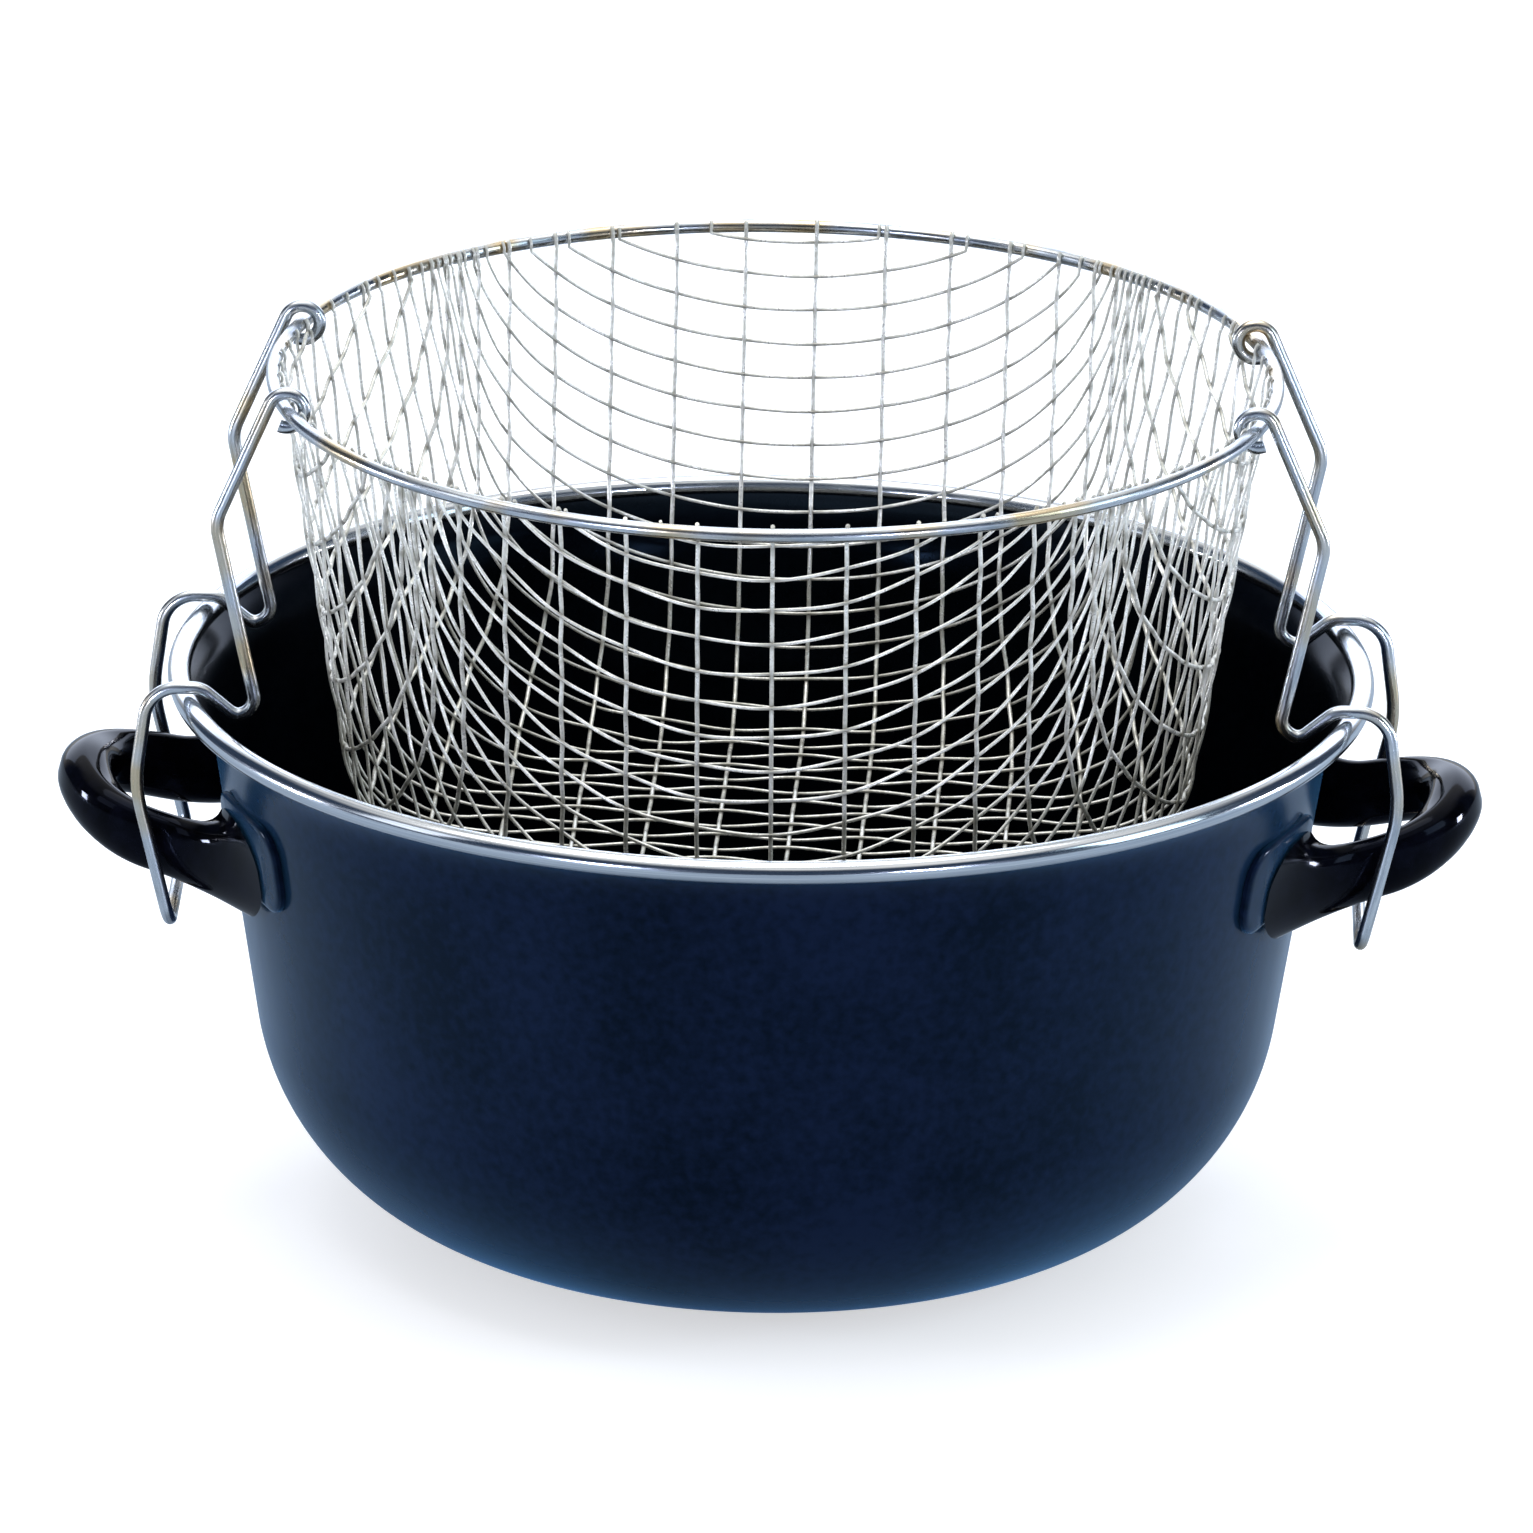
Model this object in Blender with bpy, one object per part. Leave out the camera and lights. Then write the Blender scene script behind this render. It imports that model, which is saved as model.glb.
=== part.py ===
"""Deep fry pot with a wire basket hung on its rim.

Metres, +Z up. The pot stands on the XY plane, centred on the Z axis, with its side handles on
the X axis. The basket hangs above it from two wire bails, hooked over the pot's rim.
"""
import math

import bpy
from mathutils import Matrix, Vector

# Driving dimensions, in metres and degrees

# Pot
RIM_DIAMETER = 0.260         # outside of the rolled rim
POT_HEIGHT = 0.1244          # base to the top of the rolled rim
POT_WALL = 0.0012
LIP_OVERHANG = 0.0075        # wall to the middle of the rim bead, along the radius
LIP_HEIGHT = 0.015           # flared lip below the middle of the rim bead
LIP_RISE = 40.0              # slope of the lip where it enters the bead
LIP_START_PULL = 0.009       # how far the lip keeps the wall's line
LIP_END_PULL = 0.006         # how far it keeps the slope of its end
WALL_LEAN = 8.8
BELLY_RADIUS = 0.054         # wall to base

# Rolled steel rim
BEAD_DIAMETER = 0.005
BAND_SHEET = 0.0005
LIP_EDGE_BACK = 0.0006       # sheet edge short of the middle of the bead

# Side handles
HANDLE_REACH = 0.0239        # beyond the rim
HANDLE_RISE = 13.6           # slope of the handle, up and away from the wall
HANDLE_TIP_DROP = 0.026      # middle of the tip below the middle of the rim bead
HANDLE_THICKNESS = 0.0115
HANDLE_HEIGHT = 0.0125       # at the tip
HANDLE_ARM_HEIGHT = 0.0170   # the arms hang lower than the tip by the difference
HANDLE_INNER_HEIGHT = 0.0060 # the arms narrow from their outer face to this at their inner side
HANDLE_INNER_DROP = 0.0030   # middle of that side below the middle of the outer face
HANDLE_EDGE_RADIUS = 0.0048
HANDLE_ARM_HALF_WIDTH = 0.0256
HANDLE_BOW_RADIUS = 0.0225   # to the middle of the bar
HANDLE_FOOT_DROP = 0.0324    # middle of the feet below the middle of the rim bead
HANDLE_FOOT_SPREAD = 0.0395  # middle of a foot from the middle of the handle, along the wall
HANDLE_FOOT_WIDTH = 0.028
HANDLE_FOOT_HEIGHT = 0.0222

# Brackets, welded to the wall behind the feet of the handles
BRACKET_SHEET = 0.0015
BRACKET_WIDTH = 0.035        # along the wall
BRACKET_SHIFT = 0.0055       # beyond the middle of the foot, along the wall
BRACKET_RISE = 0.0045        # middle above the middle of the foot
BRACKET_TRIM = 0.0024        # shorter than the foot is tall
BRACKET_CORNER = 0.007

# Basket
HOOP_ROOM = 0.020            # middle of the rim bead to the middle of the hoop, along the radius
HOOP_WIRE = 0.003
HANG_HEIGHT = 0.067          # middle of the hoop above the middle of the rim bead
BASKET_DEPTH = 0.107         # middle of the hoop to the underside
BASKET_LEAN = 9.2
BASKET_CORNER = 0.0275
MESH_THICKNESS = 0.0012
MESH_INSET = 0.0015          # mesh inside the hoop's own middle line

# Bails
BAIL_WIRE = 0.0028
EYE_RADIUS = 0.0038          # to the middle of the wire
EYE_SWEEP = 270.0
EYE_ROOM = 0.0006            # around the eye, in the mesh
KNEE_OUT = 0.0151            # beyond the middle of the eye
KNEE_DROP = 0.0255
KNEE_BEND = 0.009
HOOK_INNER = 0.0148          # these two lie inside the middle of the rim bead
HOOK_OUTER = 0.0096
HOOK_DROP = 0.0016
HOOK_BEND = 0.0038
SADDLE_INNER = 0.0026        # inside the middle of the rim bead
SADDLE_OUTER = 0.0086        # outside it, as the strand is
SADDLE_BEND = 0.005
SADDLE_END_BEND = 0.0075
STRAND_OUT = 0.0116
STRAND_BREAK = 0.018         # where the strand turns inwards, below the middle of the rim bead
STRAND_BEND = 0.030
STRAND_FOOT_OUT = 0.0041
STRAND_ROOM = 0.0006         # between a strand and the arm of the handle beside it
CROSS_DROP = 0.0235          # straight run under the handle, below the middle of the handle's tip
FOOT_BEND = 0.004

# Clearances
GAP = 0.0003                 # between pieces that touch
CUT_OVERRUN = 0.004

# Facets
ROUND_FACETS = 72
WIRE_FACETS = 8
BEND_STEP = 18.0             # degrees between the points of a bend
BELLY_FACETS = 9
LIP_FACETS = 5
BAND_OUTER_FACETS = 12
BAND_INNER_FACETS = 8
BASKET_CORNER_FACETS = 6
BAR_CORNER_FACETS = 3
BRACKET_CORNER_FACETS = 4
ARM_STATION_SHARES = (0.0, 0.2, 0.4, 0.65, 1.0)
FLARE_SHARES = (1.0, 0.6, 0.22, 0.05, 0.0)          # of the foot's shape, at those stations
INNER_HANG_SHARE = 0.5       # of the arms' extra height, at their inner side
BOW_STATION_SHARES = (0.14, 0.28, 0.42, 0.56, 0.7, 0.85, 1.0)
BRACKET_COLUMN_SHARES = (-0.6, -0.2, 0.2, 0.6)
MESH_WALL_SHARES = (0.5, 1.0)
SMOOTH_ANGLE = 40.0          # edges sharper than this stay sharp
SMALLEST_MITRE = 0.5         # cosine of half a corner, at the least
COLLAPSED = 1e-9             # two points this close are one

# Worked out from the sizes above

BEAD_RADIUS = BEAD_DIAMETER / 2
RIM_RADIUS = RIM_DIAMETER / 2 - BEAD_RADIUS
RIM_Z = POT_HEIGHT - BEAD_RADIUS
WALL_TOP_RADIUS = RIM_RADIUS - LIP_OVERHANG
WALL_TOP_Z = RIM_Z - LIP_HEIGHT
HOOP_RADIUS = RIM_RADIUS - HOOP_ROOM
HOOP_Z = RIM_Z + HANG_HEIGHT
WIRE_RADIUS = BAIL_WIRE / 2
SADDLE_Z = RIM_Z + BEAD_RADIUS + GAP + WIRE_RADIUS
HANDLE_TIP = RIM_DIAMETER / 2 + HANDLE_REACH
HANDLE_TIP_X = HANDLE_TIP - HANDLE_THICKNESS / 2
BRACKET_HEIGHT = HANDLE_FOOT_HEIGHT - BRACKET_TRIM
STRAND_DROP = HANDLE_TIP_DROP + CROSS_DROP


def wall_radius(z):
    """Outside radius of the leaning part of the pot's wall at height z."""
    return WALL_TOP_RADIUS - (WALL_TOP_Z - z) * math.tan(math.radians(WALL_LEAN))


def handle_frame():
    """Middle of a handle's tip, and the directions out along its slope and up across it."""
    slope = math.radians(HANDLE_RISE)
    tip = Vector((HANDLE_TIP_X, 0.0, RIM_Z - HANDLE_TIP_DROP))
    out = Vector((math.cos(slope), 0.0, math.sin(slope)))
    up = Vector((-math.sin(slope), 0.0, math.cos(slope)))
    return tip, out, up


def arm_root():
    """How far in from the tip, along the handle's slope, an arm's middle line meets the wall."""
    tip, out, up = handle_frame()
    lean = math.tan(math.radians(WALL_LEAN))
    rise = out.z / out.x
    base = wall_radius(tip.z - tip.x * rise)
    steep = lean * rise
    square = 1 - steep ** 2
    x = (base * steep + math.sqrt(base ** 2 - square * HANDLE_ARM_HALF_WIDTH ** 2)) / square
    return (x - tip.x) / out.x


def arm_and_bow():
    """An arm's root and the bow's centre in the handle's plane, and the angle where they meet."""
    root = Vector((arm_root(), HANDLE_ARM_HALF_WIDTH))
    centre = Vector((-HANDLE_BOW_RADIUS, 0.0))
    across = root - centre
    angle = math.atan2(across.y, across.x) - math.acos(HANDLE_BOW_RADIUS / across.length)
    return root, centre, angle


def bail_half_width():
    """Where the strands pass just outside the arms of the handle, under the rim bead."""
    root, centre, angle = arm_and_bow()
    reach = (RIM_RADIUS - HANDLE_TIP_X) / math.cos(math.radians(HANDLE_RISE)) - centre.x
    face = HANDLE_BOW_RADIUS + HANDLE_THICKNESS / 2
    return (face - reach * math.cos(angle)) / math.sin(angle) + STRAND_ROOM + WIRE_RADIUS


BAIL_HALF_WIDTH = bail_half_width()
EYE_X = math.sqrt(HOOP_RADIUS ** 2 - BAIL_HALF_WIDTH ** 2)
SADDLE_X = math.sqrt(RIM_RADIUS ** 2 - BAIL_HALF_WIDTH ** 2)


# Materials

def make_material(name, colour, metallic, roughness):
    material = bpy.data.materials.new(name)
    material.use_nodes = True
    shader = material.node_tree.nodes["Principled BSDF"]
    shader.inputs["Base Color"].default_value = (*colour, 1.0)
    shader.inputs["Metallic"].default_value = metallic
    shader.inputs["Roughness"].default_value = roughness
    material.diffuse_color = (*colour, 1.0)
    return material


# Outlines

def arc_points(centre, radius, start, end, count):
    """Points of an arc in a plane, from one angle to another in degrees."""
    points = []
    for k in range(count + 1):
        angle = math.radians(start + (end - start) * k / count)
        points.append((centre[0] + radius * math.cos(angle), centre[1] + radius * math.sin(angle)))
    return points


def bowl_outline(top_radius, top_z, base_z, lean, corner, corner_steps):
    """Outer outline of a flat-bottomed bowl from its axis up, with the outward normals."""
    slope = math.radians(lean)
    corner_z = base_z + corner
    corner_r = top_radius - (top_z - corner_z) * math.tan(slope) - corner / math.cos(slope)
    points = [((0.0, base_z), (0.0, -1.0))]
    for k in range(corner_steps + 1):
        angle = -math.pi / 2 + (math.pi / 2 - slope) * k / corner_steps
        normal = (math.cos(angle), math.sin(angle))
        points.append(((corner_r + corner * normal[0], corner_z + corner * normal[1]), normal))
    points.append(((top_radius, top_z), (math.cos(slope), -math.sin(slope))))
    return points


def bezier_outline(start, start_pull, end, end_pull, steps):
    """Points of a cubic curve after its start, with the normals on its right-hand side."""
    corners = [Vector(start), Vector(start) + Vector(start_pull),
               Vector(end) - Vector(end_pull), Vector(end)]
    points = []
    for k in range(1, steps + 1):
        t = k / steps
        weights = ((1 - t) ** 3, 3 * t * (1 - t) ** 2, 3 * t * t * (1 - t), t ** 3)
        place = sum((w * c for w, c in zip(weights, corners)), Vector((0.0, 0.0)))
        slopes = ((1 - t) ** 2, 2 * t * (1 - t), t * t)
        run = sum((w * (b - a) for w, a, b in zip(slopes, corners, corners[1:])), Vector((0.0, 0.0)))
        run.normalize()
        points.append((tuple(place), (run.y, -run.x)))
    return points


def thicken(outline, thickness):
    """The outline and its inner side, as one run of points from axis to axis."""
    outer = [point for point, normal in outline]
    inner = [(max(point[0] - thickness * normal[0], 0.0), point[1] - thickness * normal[1])
             for point, normal in outline]
    return outer + inner[::-1]


# Solids

def new_object(name, vertices, faces, material, origin=(0.0, 0.0, 0.0)):
    """A mesh object with its vertices given in world places and its origin where it is wanted."""
    mesh = bpy.data.meshes.new(name)
    shift = Vector(origin)
    mesh.from_pydata([Vector(v) - shift for v in vertices], [], faces)
    mesh.materials.append(material)
    mesh.update()
    solid = bpy.data.objects.new(name, mesh)
    solid.location = shift
    bpy.context.collection.objects.link(solid)
    return solid


def shade_smooth(solid):
    """Smooth shading with the sharp edges kept."""
    bpy.context.view_layer.objects.active = solid
    solid.select_set(True)
    bpy.ops.object.shade_smooth_by_angle(angle=math.radians(SMOOTH_ANGLE))
    solid.select_set(False)


def turned(name, outline, material, closed, origin=(0.0, 0.0, 0.0)):
    """Turns an outline of (radius, z) about the Z axis."""
    vertices = []
    rings = []
    for radius, z in outline:
        count = 1 if radius < COLLAPSED else ROUND_FACETS
        rings.append([len(vertices) + k for k in range(count)])
        for k in range(count):
            angle = 2 * math.pi * k / ROUND_FACETS
            vertices.append((radius * math.cos(angle), radius * math.sin(angle), z))
    pairs = list(zip(rings, rings[1:]))
    if closed:
        pairs.append((rings[-1], rings[0]))
    faces = []
    for low, high in pairs:
        for k in range(ROUND_FACETS):
            after = (k + 1) % ROUND_FACETS
            corners = [low[k % len(low)], low[after % len(low)],
                       high[after % len(high)], high[k % len(high)]]
            face = list(dict.fromkeys(corners))
            if len(face) > 2:
                faces.append(face)
    solid = new_object(name, vertices, faces, material, origin)
    shade_smooth(solid)
    return solid


def skinned(name, sections, material, origin=(0.0, 0.0, 0.0)):
    """Joins closed sections with equal, even numbers of points into one solid.

    The caps are strips between the first half of a section and the second.
    """
    count = len(sections[0])
    last = (len(sections) - 1) * count
    vertices = [point for section in sections for point in section]
    faces = []
    for k in range(count // 2 - 1):
        strip = [k, k + 1, count - 2 - k, count - 1 - k]
        faces.append(strip[::-1])
        faces.append([last + corner for corner in strip])
    for s in range(len(sections) - 1):
        for k in range(count):
            after = (k + 1) % count
            faces.append([s * count + k, s * count + after,
                          (s + 1) * count + after, (s + 1) * count + k])
    solid = new_object(name, vertices, faces, material, origin)
    shade_smooth(solid)
    return solid


def wire(name, path, radius, material, origin):
    """A round wire along a path, its section carried along without twist."""
    places = [Vector(p) for p in path]
    runs = [(b - a).normalized() for a, b in zip(places, places[1:])]
    side = runs[0].orthogonal().normalized()
    sections = []
    for k, place in enumerate(places):
        before = runs[max(k - 1, 0)]
        after = runs[min(k, len(runs) - 1)]
        along = (before + after).normalized()
        side = (side - side.dot(along) * along).normalized()
        up = along.cross(side)
        stretch = 1 / max(along.dot(after), SMALLEST_MITRE)
        bend = (after - before).normalized() if (after - before).length > COLLAPSED else side
        section = []
        for f in range(WIRE_FACETS):
            angle = 2 * math.pi * f / WIRE_FACETS
            reach = radius * (math.cos(angle) * side + math.sin(angle) * up)
            reach += (stretch - 1) * reach.dot(bend) * bend
            section.append(place + reach)
        sections.append(section)
    return skinned(name, sections, material, origin)


def bent_path(corners, bends):
    """A run of corners with each inner one rounded to its own bend radius."""
    path = [Vector(corners[0])]
    for before, corner, after, bend in zip(corners, corners[1:], corners[2:], bends):
        corner = Vector(corner)
        back = (Vector(before) - corner).normalized()
        ahead = (Vector(after) - corner).normalized()
        half = back.angle(ahead) / 2
        middle = corner + (back + ahead).normalized() * (bend / math.sin(half))
        start = corner + back * (bend / math.tan(half)) - middle
        axis = back.cross(ahead).normalized()
        turn = math.pi - 2 * half
        steps = max(2, math.ceil(math.degrees(turn) / BEND_STEP))
        for k in range(steps + 1):
            path.append(middle + Matrix.Rotation(-turn * k / steps, 3, axis) @ start)
    path.append(Vector(corners[-1]))
    return path


# Pot

def make_pot_shell(material):
    """The enamelled bowl, with its flared lip ending inside the rolled rim."""
    outline = bowl_outline(WALL_TOP_RADIUS, WALL_TOP_Z, 0.0, WALL_LEAN, BELLY_RADIUS, BELLY_FACETS)
    rise = math.radians(LIP_RISE)
    lean = math.radians(WALL_LEAN)
    ahead = Vector((math.cos(rise), math.sin(rise)))
    below = Vector((math.sin(rise), -math.cos(rise)))
    end = Vector((RIM_RADIUS, RIM_Z)) - ahead * LIP_EDGE_BACK + below * (POT_WALL / 2)
    outline += bezier_outline((WALL_TOP_RADIUS, WALL_TOP_Z),
                              (LIP_START_PULL * math.sin(lean), LIP_START_PULL * math.cos(lean)),
                              end, ahead * LIP_END_PULL, LIP_FACETS)
    return turned("pot_shell", thicken(outline, POT_WALL), material, closed=False)


def make_rim_band(material):
    """The steel strip rolled round the edge of the bowl, open where the sheet enters."""
    entry = 180.0 + LIP_RISE
    half_slit = POT_WALL / 2 + GAP
    inner = BEAD_RADIUS - BAND_SHEET
    centre = (RIM_RADIUS, RIM_Z)
    outer_slit = math.degrees(math.asin(half_slit / BEAD_RADIUS))
    inner_slit = math.degrees(math.asin(half_slit / inner))
    outline = arc_points(centre, BEAD_RADIUS, entry + outer_slit, entry + 360 - outer_slit,
                         BAND_OUTER_FACETS)
    outline += arc_points(centre, inner, entry + 360 - inner_slit, entry + inner_slit,
                          BAND_INNER_FACETS)
    return turned("rim_band", outline, material, closed=True)


# Handles and brackets

def handle_line():
    """Stations of half a handle's middle line in its own plane, from the wall to the tip.

    Each has its place, its outward direction and its share of the arm's extra height.
    """
    root, centre, angle = arm_and_bow()
    outward = Vector((math.cos(angle), math.sin(angle)))
    bow_start = centre + outward * HANDLE_BOW_RADIUS
    stations = [(root.lerp(bow_start, share), outward, 1.0) for share in ARM_STATION_SHARES]
    for share in BOW_STATION_SHARES:
        turn = angle * (1 - share)
        facing = Vector((math.cos(turn), math.sin(turn)))
        stations.append((centre + facing * HANDLE_BOW_RADIUS, facing, 1 - share))
    return stations


def bar_section(width, height, corner):
    """A rounded bar's section, as (outward, up) pairs."""
    section = []
    for side_x, side_z, start in ((1, 1, 0), (-1, 1, 90), (-1, -1, 180), (1, -1, 270)):
        middle = (side_x * (width / 2 - corner), side_z * (height / 2 - corner))
        section += arc_points(middle, corner, start, start + 90, BAR_CORNER_FACETS)
    return section


def outer_share(across):
    """How far a place across the bar lies from its inner side to its outer face, as a share."""
    return 0.5 + across / HANDLE_THICKNESS


def narrowed(section, arm_share):
    """The section with its inner side lower and less tall, fully so on the arms."""
    lost = (1 - HANDLE_INNER_HEIGHT / HANDLE_HEIGHT) * arm_share
    sink = HANDLE_INNER_DROP * arm_share
    return [(across, rise * (1 - lost * (1 - outer_share(across))) - sink * (1 - outer_share(across)))
            for across, rise in section]


def on_wall(along, z, clear):
    """A place off the wall by a clearance, at a distance along the wall from the X axis."""
    turn = along / wall_radius(RIM_Z - HANDLE_FOOT_DROP)
    reach = wall_radius(z) + clear
    return Vector((reach * math.cos(turn), reach * math.sin(turn), z))


def handle_sections():
    """Sections of half a handle, from its foot on the bracket to its tip."""
    tip, out, up = handle_frame()
    full = bar_section(HANDLE_THICKNESS, HANDLE_HEIGHT, HANDLE_EDGE_RADIUS)
    wide = HANDLE_FOOT_WIDTH / HANDLE_THICKNESS
    tall = HANDLE_FOOT_HEIGHT / HANDLE_HEIGHT
    extra = HANDLE_ARM_HEIGHT - HANDLE_HEIGHT
    sections = []
    for place, outward, share in handle_line():
        section = []
        for (across, rise), (same, level) in zip(narrowed(full, share), full):
            spot = place + outward * across
            hang = INNER_HANG_SHARE + (1 - INNER_HANG_SHARE) * outer_share(across)
            drop = extra * share * hang if level < 0 else 0.0
            section.append(tip + out * spot.x + Vector((0.0, spot.y, 0.0)) + up * (rise - drop))
        sections.append(section)
    foot_z = RIM_Z - HANDLE_FOOT_DROP
    foot = [on_wall(HANDLE_FOOT_SPREAD + across * wide, foot_z + rise * tall,
                    GAP + BRACKET_SHEET + GAP) for across, rise in full]
    flare = [after - before for before, after in zip(sections[0], foot)]
    for section, share in zip(sections, FLARE_SHARES):
        for k, shift in enumerate(flare):
            section[k] = section[k] + shift * share
    return sections


def make_handle(name, side, material):
    """A bowed bar on two flared feet that follow the faces of their brackets."""
    half = handle_sections()
    other = [[Vector((p.x, -p.y, p.z)) for p in section] for section in half[-2::-1]]
    sections = half + other
    if side < 0:
        sections = [[Vector((-p.x, -p.y, p.z)) for p in section] for section in sections]
    return skinned(name, sections, material)


def make_bracket(name, side, end, material):
    """A plate with round corners that follows the pot's wall."""
    middle_z = RIM_Z - HANDLE_FOOT_DROP + BRACKET_RISE
    half_width = BRACKET_WIDTH / 2
    half_height = BRACKET_HEIGHT / 2
    flat = half_width - BRACKET_CORNER
    corner = arc_points((flat, half_height - BRACKET_CORNER), BRACKET_CORNER, 0, 90,
                        BRACKET_CORNER_FACETS)
    columns = [(-along, up) for along, up in corner]
    columns += [(flat * share, half_height) for share in BRACKET_COLUMN_SHARES]
    columns += corner[::-1]
    sections = []
    for along, up in columns:
        section = []
        for clear, z in ((GAP, middle_z - up), (GAP, middle_z + up),
                         (GAP + BRACKET_SHEET, middle_z + up), (GAP + BRACKET_SHEET, middle_z - up)):
            place = on_wall(HANDLE_FOOT_SPREAD + BRACKET_SHIFT + along, z, clear)
            section.append((side * place.x, end * place.y, z))
        sections.append(section if side * end > 0 else section[::-1])
    return skinned(name, sections, material)


# Basket

def make_basket_rim(material):
    """The hoop that the mesh is wrapped on."""
    section = arc_points((HOOP_RADIUS, HOOP_Z), HOOP_WIRE / 2, 0, 360, WIRE_FACETS)[:-1]
    return turned("basket_rim", section, material, closed=True, origin=(0.0, 0.0, HOOP_Z))


def make_eye_cutter():
    """Four blocks through the mesh, where the bails' eyes pass round the hoop."""
    half_width = WIRE_RADIUS + EYE_ROOM
    depth = EYE_RADIUS + WIRE_RADIUS + EYE_ROOM
    vertices = []
    faces = []
    for side in (-1, 1):
        for end in (-1, 1):
            first = len(vertices)
            for x in (EYE_X - depth - CUT_OVERRUN, EYE_X + depth + CUT_OVERRUN):
                for y in (-half_width, half_width):
                    for z in (HOOP_Z - depth, HOOP_Z + CUT_OVERRUN):
                        vertices.append((side * x, end * BAIL_HALF_WIDTH + side * y, z))
            for face in ((0, 1, 3, 2), (4, 6, 7, 5), (0, 4, 5, 1), (2, 3, 7, 6), (0, 2, 6, 4), (1, 5, 7, 3)):
                faces.append([first + corner for corner in face])
    mesh = bpy.data.meshes.new("eye_cutter")
    mesh.from_pydata(vertices, [], faces)
    cutter = bpy.data.objects.new("eye_cutter", mesh)
    bpy.context.collection.objects.link(cutter)
    cutter.hide_render = True
    cutter.display_type = "WIRE"
    return cutter


def make_basket_mesh(material):
    """The mesh bowl as a thin closed shell, open at the top, with room for the eyes."""
    under = math.sqrt((HOOP_WIRE / 2 + GAP) ** 2 - MESH_INSET ** 2)
    outline = bowl_outline(HOOP_RADIUS - MESH_INSET, HOOP_Z - under, HOOP_Z - BASKET_DEPTH,
                           BASKET_LEAN, BASKET_CORNER, BASKET_CORNER_FACETS)
    top, normal = outline.pop()
    base, base_normal = outline[-1]
    for share in MESH_WALL_SHARES:
        outline.append((tuple(Vector(base).lerp(Vector(top), share)), normal))
    basket = turned("basket_mesh", thicken(outline, MESH_THICKNESS), material, closed=False,
                    origin=(0.0, 0.0, HOOP_Z))
    cut = basket.modifiers.new("eye_room", "BOOLEAN")
    cut.operation = "DIFFERENCE"
    cut.solver = "EXACT"
    cut.object = make_eye_cutter()
    return basket


# Bails

def leg_path():
    """Corners and bends of one leg in its own plane, as (x, z), from the eye to the foot."""
    eye = Vector((EYE_X, HOOP_Z))
    knee = eye + Vector((KNEE_OUT, -KNEE_DROP))
    reach = knee - eye
    tangent = math.atan2(reach.y, reach.x) + math.acos(EYE_RADIUS / reach.length)
    start = math.degrees(tangent)
    count = round(EYE_SWEEP / BEND_STEP)
    eye_points = arc_points(eye, EYE_RADIUS, start + EYE_SWEEP, start, count)
    corners = [eye_points[-1], knee,
               (SADDLE_X - HOOK_INNER, RIM_Z - HOOK_DROP),
               (SADDLE_X - HOOK_OUTER, RIM_Z - HOOK_DROP),
               (SADDLE_X - SADDLE_INNER, SADDLE_Z),
               (SADDLE_X + SADDLE_OUTER, SADDLE_Z),
               (SADDLE_X + STRAND_OUT, RIM_Z - STRAND_BREAK),
               (SADDLE_X + STRAND_FOOT_OUT, RIM_Z - STRAND_DROP)]
    bends = [KNEE_BEND, HOOK_BEND, HOOK_BEND, SADDLE_BEND, SADDLE_END_BEND, STRAND_BEND]
    return eye_points[:-1], corners, bends


def make_bail(name, side, material):
    """One wire from eye to eye: over the rim, down beside the handle and across under it."""
    eye_points, corners, bends = leg_path()
    down = [(side * x, -BAIL_HALF_WIDTH, z) for x, z in corners]
    up = [(x, -y, z) for x, y, z in down[::-1]]
    body = bent_path(down + up, bends + [FOOT_BEND, FOOT_BEND] + bends[::-1])
    first = [(side * x, -BAIL_HALF_WIDTH, z) for x, z in eye_points]
    last = [(x, -y, z) for x, y, z in first[::-1]]
    return wire(name, first + body + last, WIRE_RADIUS, material, (side * EYE_X, 0.0, HOOP_Z))


def clear_scene():
    for item in list(bpy.data.objects):
        bpy.data.objects.remove(item, do_unlink=True)


def main():
    clear_scene()
    enamel = make_material("enamel", (0.012, 0.014, 0.022), 0.0, 0.18)
    phenolic = make_material("phenolic", (0.008, 0.008, 0.009), 0.0, 0.12)
    steel = make_material("rim_steel", (0.72, 0.72, 0.73), 1.0, 0.2)
    tinned = make_material("tinned_wire", (0.66, 0.67, 0.68), 1.0, 0.3)
    make_pot_shell(enamel)
    make_rim_band(steel)
    for side, side_name in ((-1, "left"), (1, "right")):
        make_handle("handle_" + side_name, side, phenolic)
        for end, end_name in ((-1, "front"), (1, "rear")):
            make_bracket("handle_bracket_" + side_name + "_" + end_name, side, end, enamel)
    make_basket_rim(tinned)
    make_basket_mesh(tinned)
    make_bail("bail_left", -1, tinned)
    make_bail("bail_right", 1, tinned)


main()
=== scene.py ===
"""Looks of a deep fry pot with a wire basket hung on its rim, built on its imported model.

Metres, +Z up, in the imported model's frame: the pot stands on the XY plane, centred on the Z axis,
with its side handles on the X axis. Every piece takes its place from the sizes below.
"""
import logging
import math
import random
from dataclasses import dataclass, field
from enum import Enum
from typing import Any, Dict, List, Optional, Sequence, Tuple

import bpy
from mathutils import Matrix, Vector


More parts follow.
